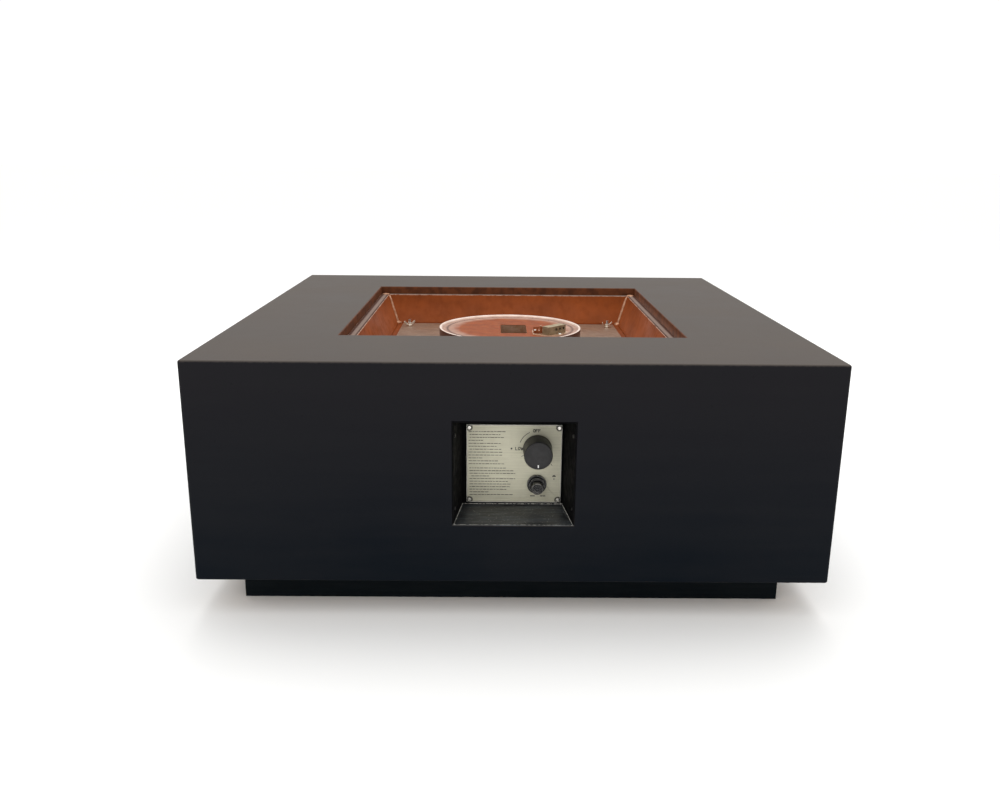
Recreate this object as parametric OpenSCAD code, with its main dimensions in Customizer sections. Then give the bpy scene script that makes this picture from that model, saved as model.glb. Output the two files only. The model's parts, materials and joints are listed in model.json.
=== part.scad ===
// Square gas fire pit table: a cast shell on a recessed plinth, a drop-in steel fire bowl with a
// round burner, and a control panel set back in a recess in the front.
// Origin: centre of the base, on the ground. +Z is up and -Y is the front.

/* [Table] */
// Width and depth of the cast shell
table_w = 1067; // [1060:1:1074]
// Height of the cast shell above the plinth
shell_h = 378; // [375:1:384]
// Height of the plinth
plinth_h = 63; // [60:1:68]
// How far the plinth stands back from the shell on every side
plinth_inset = 64; // [50:1:80]
// Thickness of the shell's side walls
wall_t = 22; // [20:1:26]
// Thickness of the shell's top
top_t = 24; // [22:1:30]
// Radius of the shell's upright corners
corner_r = 6; // [5:1:12]
// Radius of the shell's top edge
top_edge_r = 4; // [3:1:5]
// Radius of the shell's bottom edge
bottom_edge_r = 3; // [2:1:5]

/* [Fire bowl] */
// Width of the square opening in the top
opening_w = 630; // [620:1:640]
// Drop from the table top to the bowl's ledge
ledge_drop = 17; // [14:1:20]
// Width of the ledge that shows round the bowl
ledge_w = 20; // [18:1:22]
// Drop from the table top to the bowl's floor
bowl_drop = 83; // [80:1:86]
// How far each bowl wall leans in from top to bottom
bowl_lean = 23; // [15:1:26]
// Thickness of the bowl's steel
bowl_t = 2; // [1.5:0.1:2.5]
// Width of the plate that carries the burner
deck_w = 514; // [500:1:516]

/* [Burner] */
// Outer diameter of the burner
burner_d = 304; // [300:1:310]
// Drop from the table top to the burner's rim
burner_drop = 40.5; // [38:0.5:42]
// Radius of the circle of flame ports
port_ring_r = 135; // [134:1:138]
// Number of flame ports
port_count = 100; // [60:1:120]
// Diameter of one flame port
port_d = 3; // [1.8:0.1:3.4]

/* [Control recess] */
// Width of the recess at the front
recess_w = 198; // [196:1:204]
// Height of the recess
recess_h = 176; // [174:1:180]
// Drop from the table top to the top of the recess
recess_drop = 99; // [97:1:101]
// Depth of the recess
recess_d = 94; // [90:1:98]
// How far each side wall of the recess leans in from front to back
recess_lean = 11.5; // [9:0.5:12]

/* [Controls] */
// Width of the control panel
panel_w = 165; // [160:1:168]
// Height of the control panel
panel_h = 142; // [140:1:146]
// How far the panel stands right of the centre
panel_x = 2; // [0:0.5:3]
// Height of the panel's bottom edge above the recess floor
panel_lift = 4; // [3:0.5:6]
// Knob and igniter, right of the centre
control_x = 42; // [41:0.5:44]
// Diameter of the knob at its base
knob_d = 50; // [47:0.5:51]
// How far the knob's face stands out from the panel
knob_reach = 43; // [41:0.5:44]
// How far the knob pushes in
knob_push = 3; // [2.5:0.5:3]
// Diameter of the igniter's bezel
bezel_d = 34; // [32:1:36]
// How far the igniter button stands out from the panel
button_reach = 28; // [26:1:30]
// How far the igniter button pushes in
button_push = 5; // [3:0.5:5]

/* [Hidden] */
$fn = 64;
eps = 0.5; // a cutting tool runs this far past the face it cuts
fit = 0.05; // radial clearance of a running or push fit
hole_gap = 0.1; // radial clearance of a screw or stud in its hole

// Table
half_w = table_w / 2;
top_z = plinth_h + shell_h;
half_in = half_w - wall_t;
roof_z = top_z - top_t;
plinth_half = half_w - plinth_inset;
board_t = 18;
rail_t = 18;
rail_half = half_in - 0.5;
rail_in = rail_half - 111;
cleat_w = 45;
cleat_h = 60;
front_y = -half_w;

// Fire bowl
opening_half = opening_w / 2;
ledge_z = top_z - ledge_drop;
mouth_half = opening_half - ledge_w;
floor_z = top_z - bowl_drop;
floor_half = mouth_half - bowl_lean;
lip_z = ledge_z - bowl_t;
lip_half = mouth_half + bowl_t + 3;
lip_drop = 20;
lip_ring_half = 360;
window_half = 205;
stud_x = 238;
stud_y = 218;
stud_r = 3;
deck_t = 2;
deck_z = floor_z + deck_t;
post_x = 232;
post_y = 150;
shield_half = 245;
shield_z = floor_z - bowl_t - 20;
shield_t = 1;

// Burner
burner_r = burner_d / 2;
rim_z = top_z - burner_drop;
rim_rise = 3.5;
plate_z = rim_z - rim_rise;
sheet = 1.2;
leg_h = 15;
pan_z = deck_z + leg_h;
leg_circle_r = 118;
centre_at = [7.5, -8];
centre_size = [55, 97];
well_at = [78.5, -51];
well_size = [44, 16];
mixer_x = -85;
mixer_r = 12.7;
mixer_bore_r = 11.5;
mixer_foot_z = pan_z - 107;
window_z = mixer_foot_z + 17;
window_h = 24;
air_window_w = 14;

// Ignition parts on the burner
bracket_z = plate_z + sheet;
probe_at = [64, -50];
electrode_at = [90, -54];
shield_at = [98.2, -63];
shield_yaw = 44.4;
shield_len = 53;
shield_depth = 18;
shield_h = 16;
guard_at = [60.5, -61];
electrode_foot_z = pan_z - 21;
probe_foot_z = pan_z - 9;
ignition_screw_at = [[52, -33], [103, -70]];

// Control recess and panel
recess_half = recess_w / 2;
recess_back_half = recess_half - recess_lean;
recess_top_z = top_z - recess_drop;
recess_floor_z = recess_top_z - recess_h;
recess_back_y = front_y + recess_d;
liner_t = 1.5;
panel_fold = 3.2;
panel_y = recess_back_y - panel_fold;
panel_z = recess_floor_z + panel_lift + panel_h / 2;
panel_screw_dx = panel_w / 2 - 5;
panel_screw_dz = panel_h / 2 - 5;
liner_screw_y = front_y + 11.5;
liner_screw_x = recess_half - 11.5 * recess_lean / recess_d;
liner_screw_z = [recess_floor_z + 25, recess_top_z - 25];
liner_angle = atan(recess_lean / recess_d);

// Valve and knob, measured outwards from the panel's face along the valve's axis
knob_z = panel_z + 29;
stem_end = knob_reach - 10;
stem_r = 3.95;
bushing_r = 7;
bushing_top = 6;
valve_half = 20;
valve_end = -41.2;
chamber_r = 10;
chamber_front = -9;
chamber_back = -34;
plunger_front = -15;
plunger_back = -21;
boss_r = 8;
boss_reach = 34;
boss_depth = -28;
inlet_rise = -7;
outlet_rise = 7;
knob_back = knob_push + 0.5;
unit_end = -63;

// Igniter, measured the same way
igniter_z = panel_z - 36;
button_r = 10.2;
housing_r = 12.4;
button_stop = -4;
collar_end = -7;
battery_front = collar_end - button_push - 6;
battery_r = 7.2;
battery_end = -68.5;
housing_end = -72;
terminal_end = -77;

// Gas inlet at the back
inlet_z = 200;
inlet_bracket_y = half_in - 31.5;
inlet_reach = 22;
thread_r = 7.9;
grommet_r = 22;
grommet_bore_r = 16;
grommet_flange_r = 26.5;

// The first three points of a route that leaves p in steps of d
function leaving(p, d) = [p, p + d, p + 2 * d];

// The last three points of a route that comes to p in steps of d
function coming_to(p, d) = [p - 2 * d, p - d, p];

// Routes of the tubes and leads
port_y = panel_y - boss_depth;
inlet_route = concat(
    leaving([control_x + boss_reach, port_y, knob_z + inlet_rise], [10, 0, 0]),
    [
        [118, -411, 258], [144, -392, 240], [163, -352, 204], [170, -296, 168], [168, -226, 138],
        [158, -140, 118], [142, -40, 108], [120, 66, 104], [94, 168, 106], [66, 256, 116],
        [38, 328, 138], [14, 378, 170], [2, 410, 193]
    ],
    coming_to([0, inlet_bracket_y - inlet_reach, inlet_z], [0, 12, 0])
);
feed_route = concat(
    leaving([control_x - boss_reach, port_y, knob_z + outlet_rise], [-9, 0, 0]),
    [
        [-34, -409, 273], [-58, -394, 262], [-77, -362, 244], [-88, -312, 228], [-92, -252, 212],
        [-91, -188, 199], [-88, -124, 190], [-86, -70, 185], [-85, -30, 188], [-85, -6, 202]
    ],
    coming_to([mixer_x, 0, mixer_foot_z - 28], [0, 0, 9])
);
ignition_route = concat(
    leaving([control_x, panel_y - terminal_end, igniter_z], [0, 5, 0]),
    [
        [48, -334, 210], [62, -292, 226], [80, -236, 252], [92, -176, 280], [95, -122, 304],
        [93, -84, 322], [90.5, -61, 334]
    ],
    coming_to([electrode_at.x, electrode_at.y, electrode_foot_z], [0, 0, 4])
);
thermocouple_route = concat(
    leaving([control_x, panel_y - unit_end, knob_z], [0, 5, 0]),
    [
        [42, -344, 272], [42, -298, 279], [46, -240, 292], [52, -178, 308], [57, -122, 322],
        [61, -82, 334], [63.5, -58, 345]
    ],
    coming_to([probe_at.x, probe_at.y, probe_foot_z], [0, 0, 4])
);

// A unit vector along v
function unit(v) = v / norm(v);

// One point of a smooth curve through p[i] and p[i + 1], at share t of the way
function curve_point(p, i, t) =
    let (
        a = p[max(i - 1, 0)],
        b = p[i],
        c = p[i + 1],
        d = p[min(i + 2, len(p) - 1)]
    )
    0.5 * (2 * b + (c - a) * t + (2 * a - 5 * b + 4 * c - d) * t * t
        + (3 * b - a - 3 * c + d) * t * t * t);

// The route's points with one more between each two
function smooth(p) = [
    for (i = [0:len(p) - 2])
        for (t = [0, 0.5])
            curve_point(p, i, t),
    p[len(p) - 1]
];

// The direction of the path at point i
function heading(p, i) = unit(p[min(i + 1, len(p) - 1)] - p[max(i - 1, 0)]);

// A unit vector across the path at each point, carried along without twist
function across(p, start) = [
    for (
        i = 0, n = start;
        i < len(p);
        i = i + 1,
        n = i < len(p) ? unit(n - (n * heading(p, i)) * heading(p, i)) : n
    )
        n
];

// A round tube along the points of a path
module tube_along(p, r, start, sides = 8) {
    n = across(p, start);
    last = len(p) - 1;
    points = [
        for (i = [0:last])
            for (k = [0:sides - 1])
                p[i] + r * (n[i] * cos(360 * k / sides)
                    + cross(heading(p, i), n[i]) * sin(360 * k / sides))
    ];
    rings = [
        for (i = [0:last - 1])
            for (k = [0:sides - 1])
                let (m = (k + 1) % sides)
                    [i * sides + k, i * sides + m, (i + 1) * sides + m, (i + 1) * sides + k]
    ];
    foot = [for (k = [0:sides - 1]) sides - 1 - k];
    head = [for (k = [0:sides - 1]) last * sides + k];
    // reversed, because a polyhedron's faces run clockwise seen from outside
    polyhedron(
        points = points,
        faces = [for (f = concat(rings, [foot, head])) [for (k = [len(f) - 1:-1:0]) f[k]]]
    );
}

// A wound wire from z0 to z1 about the Z axis
module coil(r, wire_r, z0, z1, turns) {
    steps = turns * 12;
    path = [
        for (i = [0:steps])
            [r * cos(30 * i), r * sin(30 * i), z0 + (z1 - z0) * i / steps]
    ];
    tube_along(path, wire_r, [1, 0, 0], 6);
}

// A tube with true round surfaces
module ring(outer_r, inner_r, h) {
    difference() {
        cylinder(r = outer_r, h = h);
        translate([0, 0, -eps]) cylinder(r = inner_r, h = h + 2 * eps);
    }
}

// A hexagon nut
module nut(across_flats, h, bore_r) {
    difference() {
        cylinder(r = across_flats / sqrt(3), h = h, $fn = 6);
        translate([0, 0, -eps]) cylinder(r = bore_r, h = h + 2 * eps);
    }
}

// A square block that tapers from half width a at z0 to half width b at z1
module taper(a, z0, b, z1) {
    polyhedron(
        points = [
            [-a, -a, z0], [a, -a, z0], [a, a, z0], [-a, a, z0],
            [-b, -b, z1], [b, -b, z1], [b, b, z1], [-b, b, z1]
        ],
        faces = [
            [0, 1, 2, 3], [7, 6, 5, 4], [0, 4, 5, 1], [1, 5, 6, 2], [2, 6, 7, 3], [3, 7, 4, 0]
        ]
    );
}

// A box centred on at in plan, from z0 to z1
module block(at, size, z0, z1) {
    translate([at.x - size.x / 2, at.y - size.y / 2, z0]) cube([size.x, size.y, z1 - z0]);
}

// Places a child at each of the four points (+-x, +-y)
module four(x, y) {
    for (sx = [-1, 1])
        for (sy = [-1, 1])
            translate([sx * x, sy * y, 0]) children();
}

// Turns Z outwards from the panel's face, with X to the right and Y up
module on_panel(x, z) {
    translate([x, panel_y, z]) rotate([90, 0, 0]) children();
}

// A screw with a pan head: the head stands on z = 0 and the shank goes down
module pan_screw(head_r, head_h, shank_r, length) {
    cylinder(r = head_r, h = head_h * 0.6);
    translate([0, 0, head_h * 0.6]) cylinder(r1 = head_r, r2 = head_r * 0.62, h = head_h * 0.4);
    translate([0, 0, -length]) cylinder(r = shank_r, h = length);
}

module rounded_block() {
    hull()
        four(half_w - corner_r, half_w - corner_r)
            rotate_extrude($fn = 40)
                intersection() {
                    union() {
                        translate([corner_r - top_edge_r, top_z - top_edge_r])
                            circle(r = top_edge_r, $fn = 40);
                        translate([corner_r - bottom_edge_r, plinth_h + bottom_edge_r])
                            circle(r = bottom_edge_r, $fn = 32);
                    }
                    square([corner_r, top_z]);
                }
}

// Puts a liner screw's frame on the inner face of both side walls, with Z inwards
module at_liner_screws() {
    for (side = [0, 1])
        for (z = liner_screw_z)
            mirror([side, 0, 0])
                translate([liner_screw_x, liner_screw_y, z])
                    rotate([0, 0, liner_angle])
                        rotate([0, -90, 0])
                            children();
}

module body_shell() {
    color([0.2, 0.2, 0.21])
    difference() {
        rounded_block();
        difference() {
            block([0, 0], [2 * half_in, 2 * half_in], plinth_h - eps, roof_z);
            block([0, 0], [2 * lip_ring_half, 2 * lip_ring_half], roof_z - lip_drop, roof_z + eps);
        }
        block([0, 0], [opening_w, opening_w], lip_z, top_z + eps);
        block([0, 0], [2 * lip_half, 2 * lip_half], roof_z - lip_drop - eps, lip_z + eps);
        block(
            [0, front_y + wall_t / 2],
            [recess_w + 4, wall_t + 2 * eps],
            recess_floor_z - 2,
            recess_top_z + 2
        );
        at_liner_screws()
            translate([0, 0, -14]) cylinder(r = 1.9 + hole_gap, h = 14);
        translate([0, half_in - eps, inlet_z])
            rotate([-90, 0, 0])
                cylinder(r = grommet_r, h = wall_t + 2 * eps);
        translate([0, half_w - 3, inlet_z])
            rotate([-90, 0, 0])
                cylinder(r = grommet_flange_r + 0.5, h = 3 + eps);
    }
}

// Plinth boards: the front and back run right across, the sides fit between them
module plinth_board_across(side) {
    color([0.1, 0.1, 0.1])
    difference() {
        block([0, side * (plinth_half - board_t / 2)], [2 * plinth_half, board_t], 0, plinth_h);
        at_plinth_screws() translate([0, 0, -20]) cylinder(r = 2 + hole_gap, h = 20 + eps);
    }
}

module plinth_board_along(side) {
    color([0.1, 0.1, 0.1])
    difference() {
        block(
            [side * (plinth_half - board_t / 2), 0],
            [board_t, 2 * (plinth_half - board_t)],
            0,
            plinth_h
        );
        at_plinth_screws() translate([0, 0, -20]) cylinder(r = 2 + hole_gap, h = 20 + eps);
    }
}

module plinth_front() { plinth_board_across(-1); }
module plinth_back() { plinth_board_across(1); }
module plinth_left() { plinth_board_along(-1); }
module plinth_right() { plinth_board_along(1); }

// Two screws down into each plinth board, at the height of the plinth's top
module at_plinth_screws() {
    line = plinth_half - board_t / 2;
    for (s = [-1, 1])
        for (t = [-300, 300]) {
            translate([t, s * line, plinth_h]) children();
            translate([s * line, t, plinth_h]) children();
        }
}

module plinth_screws() {
    color("silver")
    at_plinth_screws() {
        translate([0, 0, rail_t]) cylinder(r = 4, h = 2.5);
        translate([0, 0, -20]) cylinder(r = 2, h = 20 + rail_t);
    }
}

// Rails of the base frame, inside the shell's bottom edge
module base_rail_across(side) {
    color([0.62, 0.5, 0.36])
    difference() {
        block(
            [0, side * (rail_half + rail_in) / 2],
            [2 * rail_half, rail_half - rail_in],
            plinth_h,
            plinth_h + rail_t
        );
        at_plinth_screws() translate([0, 0, -eps]) cylinder(r = 2 + hole_gap, h = rail_t + 2 * eps);
        at_rail_screws() translate([0, 0, -eps]) cylinder(r = 2.5 + hole_gap, h = rail_t + 2 * eps);
        if (side > 0)
            at_bracket_screws() translate([0, 0, -16]) cylinder(r = 2 + hole_gap, h = 16 + eps);
    }
}

module base_rail_along(side) {
    color([0.62, 0.5, 0.36])
    difference() {
        block(
            [side * (rail_half + rail_in) / 2, 0],
            [rail_half - rail_in, 2 * rail_in],
            plinth_h,
            plinth_h + rail_t
        );
        at_plinth_screws() translate([0, 0, -eps]) cylinder(r = 2 + hole_gap, h = rail_t + 2 * eps);
    }
}

module base_rail_front() { base_rail_across(-1); }
module base_rail_back() { base_rail_across(1); }
module base_rail_left() { base_rail_along(-1); }
module base_rail_right() { base_rail_along(1); }

// One screw up through the rail into each corner cleat, outside the plinth
module at_rail_screws() {
    four(rail_half - cleat_w / 2, rail_half - cleat_w / 2)
        translate([0, 0, plinth_h]) children();
}

module corner_cleats() {
    at = rail_half - cleat_w / 2;
    color([0.68, 0.56, 0.4])
    difference() {
        four(at, at)
            block([0, 0], [cleat_w, cleat_w], plinth_h + rail_t, plinth_h + rail_t + cleat_h);
        at_rail_screws() cylinder(r = 2.5 + hole_gap, h = rail_t + 30);
    }
}

module rail_screws() {
    color("silver")
    at_rail_screws() {
        translate([0, 0, -2.5]) cylinder(r = 5, h = 2.5);
        cylinder(r = 2.5, h = rail_t + 28);
    }
}

// Fire bowl, deck and heat shield
module fire_bowl() {
    lean = (mouth_half - floor_half) / (ledge_z - floor_z);
    color([0.3, 0.2, 0.15])
    difference() {
        union() {
            block([0, 0], [opening_w - 3, opening_w - 3], lip_z, ledge_z);
            taper(floor_half + bowl_t, floor_z - bowl_t, mouth_half + bowl_t, ledge_z - bowl_t / 2);
        }
        taper(floor_half, floor_z, mouth_half + lean * eps, ledge_z + eps);
        block([0, 0], [2 * window_half, 2 * window_half], floor_z - bowl_t - eps, floor_z + eps);
        four(stud_x, stud_y)
            translate([0, 0, floor_z - bowl_t - eps])
                cylinder(r = stud_r + hole_gap, h = bowl_t + 2 * eps);
    }
}

// The four points where the burner's legs stand
module at_legs() {
    at = leg_circle_r / sqrt(2);
    four(at, at) children();
}

module deck_plate() {
    color([0.55, 0.53, 0.5])
    difference() {
        block([0, 0], [deck_w, deck_w], floor_z, deck_z);
        translate([0, 0, floor_z - eps]) {
            four(stud_x, stud_y) cylinder(r = stud_r + hole_gap, h = deck_t + 2 * eps);
            at_legs() cylinder(r = 3 + hole_gap, h = deck_t + 2 * eps);
            translate([mixer_x, 0, 0]) cylinder(r = mixer_r + 3.3, h = deck_t + 2 * eps);
            for (a = [0:90:270])
                rotate([0, 0, a]) translate([200, 0, 0]) cylinder(r = 4, h = deck_t + 2 * eps);
        }
        block(well_at, well_size + [8, 10], floor_z - eps, deck_z + eps);
    }
}

module deck_studs() {
    color("silver")
    four(stud_x, stud_y) {
        translate([0, 0, floor_z - bowl_t - 4]) cylinder(r = 5.8, h = 4, $fn = 6);
        translate([0, 0, floor_z - bowl_t]) cylinder(r = stud_r, h = 20);
    }
}

module wing_nuts() {
    color([0.85, 0.83, 0.78])
    four(stud_x, stud_y)
        translate([0, 0, deck_z])
            difference() {
                union() {
                    cylinder(r = 6.5, h = 4);
                    cylinder(r = 5, h = 8);
                    for (a = [25, 205])
                        rotate([0, 0, a])
                            translate([0, 1, 0])
                                rotate([90, 0, 0])
                                    linear_extrude(2)
                                        polygon([
                                            [4.3, 2], [8, 3], [14, 9], [14.5, 12],
                                            [12, 13], [7, 8], [4.3, 6.5]
                                        ]);
                }
                translate([0, 0, -eps]) cylinder(r = stud_r + fit, h = 9);
            }
}

module heat_shield() {
    color([0.6, 0.6, 0.58])
    difference() {
        block([0, 0], [2 * shield_half, 2 * shield_half], shield_z - shield_t, shield_z);
        translate([0, 0, shield_z - shield_t - eps]) {
            four(post_x, post_y) cylinder(r = 2 + hole_gap, h = shield_t + 2 * eps);
            translate([mixer_x, 0, 0]) cylinder(r = mixer_r + 3.3, h = shield_t + 2 * eps);
        }
        block([well_at.x, -66], [60, 54], shield_z - shield_t - eps, shield_z + eps);
    }
}

module shield_posts() {
    color("silver")
    four(post_x, post_y) {
        translate([0, 0, shield_z]) cylinder(r = 5, h = floor_z - bowl_t - shield_z);
        translate([0, 0, shield_z - shield_t - 8]) cylinder(r = 2, h = shield_t + 8);
    }
}

module shield_nuts() {
    color("silver")
    four(post_x, post_y)
        translate([0, 0, shield_z - shield_t - 4]) nut(8, 4, 2 + fit);
}

// Burner
module burner_top() {
    skirt_z = rim_z - 16.5;
    color([0.72, 0.7, 0.66])
    difference() {
        rotate_extrude($fn = 120)
            polygon([
                [0, plate_z - sheet], [0, plate_z], [burner_r - 6, plate_z],
                [burner_r - 4.2, rim_z], [burner_r, rim_z], [burner_r, skirt_z],
                [burner_r - sheet, skirt_z], [burner_r - sheet, rim_z - sheet],
                [burner_r - 3.4, rim_z - sheet], [burner_r - 5.2, plate_z - sheet]
            ]);
        block(centre_at, centre_size, plate_z - 2 * sheet, plate_z + eps);
        block(well_at, well_size, plate_z - 2 * sheet, plate_z + eps);
        for (i = [0:port_count - 1])
            rotate([0, 0, 360 * (i + 0.5) / port_count])
                translate([port_ring_r, 0, plate_z - 2 * sheet])
                    cylinder(r = port_d / 2, h = 3 * sheet, $fn = 16);
        for (at = ignition_screw_at)
            translate([at.x, at.y, plate_z - 2 * sheet]) cylinder(r = 2 + hole_gap, h = 3 * sheet);
    }
}

module burner_base() {
    wall_r = burner_r - sheet - 0.6;
    color([0.62, 0.6, 0.57])
    difference() {
        union() {
            translate([0, 0, pan_z]) cylinder(r = wall_r, h = sheet, $fn = 120);
            translate([0, 0, pan_z]) ring(wall_r, wall_r - sheet, rim_z - sheet - pan_z, $fn = 120);
            block(centre_at, centre_size + [2.4, 2.4], pan_z, plate_z - sheet);
            block(well_at, well_size + [2.4, 2.4], pan_z, plate_z - sheet);
        }
        block(centre_at, centre_size, pan_z - eps, plate_z);
        block(well_at, well_size, pan_z - eps, plate_z);
        translate([0, 0, pan_z - eps]) {
            translate([mixer_x, 0, 0]) cylinder(r = mixer_r + fit, h = sheet + 2 * eps);
            at_legs() cylinder(r = 3 + hole_gap, h = sheet + 2 * eps);
        }
    }
}

module burner_legs() {
    color("silver")
    at_legs() translate([0, 0, deck_z]) ring(9, 3 + hole_gap, leg_h);
}

module burner_bolts() {
    color("silver")
    at_legs() {
        translate([0, 0, floor_z - 4]) cylinder(r = 5.8, h = 4, $fn = 6);
        translate([0, 0, floor_z]) cylinder(r = 3, h = pan_z + 8 - floor_z);
    }
}

module burner_nuts() {
    color("silver")
    at_legs() translate([0, 0, pan_z + sheet]) nut(10, 5, 3 + fit);
}

module mixer_tube() {
    color([0.75, 0.73, 0.7])
    translate([mixer_x, 0, 0])
        difference() {
            union() {
                translate([0, 0, mixer_foot_z])
                    cylinder(r = mixer_r, h = pan_z + sheet + 2 - mixer_foot_z);
                translate([0, 0, pan_z - 2]) cylinder(r = 20, h = 2);
            }
            translate([0, 0, mixer_foot_z - eps]) cylinder(r = mixer_bore_r, h = 130);
            block([0, 0], [air_window_w, 4 * mixer_r], window_z, window_z + window_h);
        }
}

module air_shutter() {
    color([0.8, 0.68, 0.35])
    translate([mixer_x, 0, 0])
        difference() {
            union() {
                translate([0, 0, window_z - 6]) cylinder(r = 14.5, h = window_h + 12);
                block([20, 0], [14, 2], window_z + 4, window_z + 18);
            }
            translate([0, 0, window_z - 7]) cylinder(r = mixer_r + fit, h = window_h + 14);
            block([0, 0], [air_window_w, 4 * mixer_r], window_z, window_z + window_h);
        }
}

module orifice_fitting() {
    color([0.8, 0.65, 0.3])
    translate([mixer_x, 0, mixer_foot_z])
        difference() {
            union() {
                translate([0, 0, -28]) cylinder(r = 6, h = 28);
                translate([0, 0, -12]) cylinder(r = 12.7, h = 12, $fn = 6);
                cylinder(r = mixer_bore_r - fit, h = 9);
                cylinder(r = 4.5, h = 21);
            }
            translate([0, 0, -28 - eps]) cylinder(r = 3, h = 40);
            cylinder(r = 0.9, h = 22);
        }
}

// Ignition parts on the burner
module ignition_bracket() {
    color([0.7, 0.68, 0.62])
    difference() {
        translate([0, 0, plate_z])
            linear_extrude(sheet)
                polygon([
                    [47, -74], [70, -88], [94, -88], [114, -66],
                    [121, -50], [121, -40], [104, -26], [47, -26]
                ]);
        for (at = ignition_screw_at)
            translate([at.x, at.y, plate_z - eps]) cylinder(r = 2 + hole_gap, h = sheet + 2 * eps);
        translate([probe_at.x, probe_at.y, plate_z - eps])
            cylinder(r = 2.4 + hole_gap, h = sheet + 2 * eps);
        translate([electrode_at.x, electrode_at.y, plate_z - eps])
            cylinder(r = 3.9 + hole_gap, h = sheet + 2 * eps);
    }
}

module ignition_screws() {
    color("silver")
    for (at = ignition_screw_at)
        translate([at.x, at.y, bracket_z]) pan_screw(3.5, 2.2, 2, 8);
}

// A small box with an open bottom and three holes in its front
module igniter_shield() {
    color([0.66, 0.6, 0.52])
    translate([shield_at.x, shield_at.y, bracket_z])
        rotate([0, 0, shield_yaw])
            difference() {
                translate([-shield_len / 2, 0, 0]) cube([shield_len, shield_depth, shield_h]);
                translate([1 - shield_len / 2, 1, -eps])
                    cube([shield_len - 2, shield_depth - 2, shield_h + eps - 1]);
                for (x = [-3, 9, 20])
                    translate([x, -eps, shield_h * 0.55])
                        rotate([-90, 0, 0])
                            cylinder(r = 2.5, h = 1 + 2 * eps);
            }
}

// An angle with a foot and an upright that has three holes
module sensor_guard() {
    color([0.6, 0.42, 0.3])
    translate([guard_at.x, guard_at.y, bracket_z])
        difference() {
            union() {
                translate([-12.5, 0, 0]) cube([25, 1, 13]);
                translate([-12.5, 0, 0]) cube([25, 7, 1]);
            }
            for (x = [-8.2, 0, 8.2])
                translate([x, -eps, 7.5])
                    rotate([-90, 0, 0])
                        cylinder(r = 2.4, h = 1 + 2 * eps);
        }
}

module electrode_insulator() {
    color("white")
    translate([electrode_at.x, electrode_at.y, 0])
        difference() {
            translate([0, 0, pan_z - 5]) cylinder(r = 3.9, h = bracket_z + 7 - pan_z + 5);
            translate([0, 0, pan_z - 6]) cylinder(r = 1 + fit, h = 60);
        }
}

module electrode_rod() {
    color("silver")
    translate([electrode_at.x, electrode_at.y, electrode_foot_z])
        cylinder(r = 1, h = bracket_z + 12 - electrode_foot_z);
}

module thermocouple_probe() {
    color([0.72, 0.5, 0.36])
    translate([probe_at.x, probe_at.y, probe_foot_z])
        cylinder(r = 2.4, h = bracket_z + 14 - probe_foot_z);
}

// Control recess
module recess_liner() {
    y0 = front_y + 0.5;
    y1 = recess_back_y + liner_t;
    slope = recess_lean / recess_d;
    front_half = recess_half - 0.5 * slope;
    back_half = recess_back_half - liner_t * slope;
    color([0.07, 0.07, 0.08])
    difference() {
        translate([0, 0, recess_floor_z - liner_t])
            linear_extrude(recess_h + 2 * liner_t)
                polygon([
                    [-front_half - liner_t, y0], [front_half + liner_t, y0],
                    [back_half + liner_t, y1], [-back_half - liner_t, y1]
                ]);
        translate([0, 0, recess_floor_z])
            linear_extrude(recess_h)
                polygon([
                    [-recess_half - slope, front_y - 1], [recess_half + slope, front_y - 1],
                    [recess_back_half, recess_back_y], [-recess_back_half, recess_back_y]
                ]);
        block(
            [panel_x, recess_back_y],
            [panel_w - 25, 4 * liner_t],
            panel_z - panel_h / 2 + 13,
            panel_z + panel_h / 2 - 13
        );
        at_liner_screws()
            translate([0, 0, -3]) cylinder(r = 1.9 + hole_gap, h = 4);
        on_panel(panel_x, panel_z)
            four(panel_screw_dx, panel_screw_dz)
                translate([0, 0, -panel_fold - 2 * liner_t])
                    cylinder(r = 2 + hole_gap, h = 3 * liner_t);
    }
}

module liner_screws() {
    color("silver")
    at_liner_screws() {
        cylinder(r = 3.2, h = 2);
        translate([0, 0, -13]) cylinder(r = 1.9, h = 13);
    }
}

module control_panel() {
    color([0.66, 0.64, 0.56])
    difference() {
        on_panel(panel_x, panel_z) {
            difference() {
                block([0, 0], [panel_w, panel_h], -panel_fold, 0);
                block([0, 0], [panel_w - 2.4, panel_h - 2.4], -panel_fold - eps, -sheet);
            }
        }
        on_panel(panel_x, panel_z)
            four(panel_screw_dx, panel_screw_dz)
                translate([0, 0, -2]) cylinder(r = 2 + hole_gap, h = 3);
        on_panel(control_x, knob_z) translate([0, 0, -2]) cylinder(r = bushing_r + 0.2, h = 3);
        on_panel(control_x, igniter_z) translate([0, 0, -2]) cylinder(r = housing_r + 0.2, h = 3);
    }
}

module panel_screws() {
    color([0.85, 0.85, 0.82])
    on_panel(panel_x, panel_z)
        four(panel_screw_dx, panel_screw_dz) pan_screw(4, 2.6, 2, 12);
}

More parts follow.
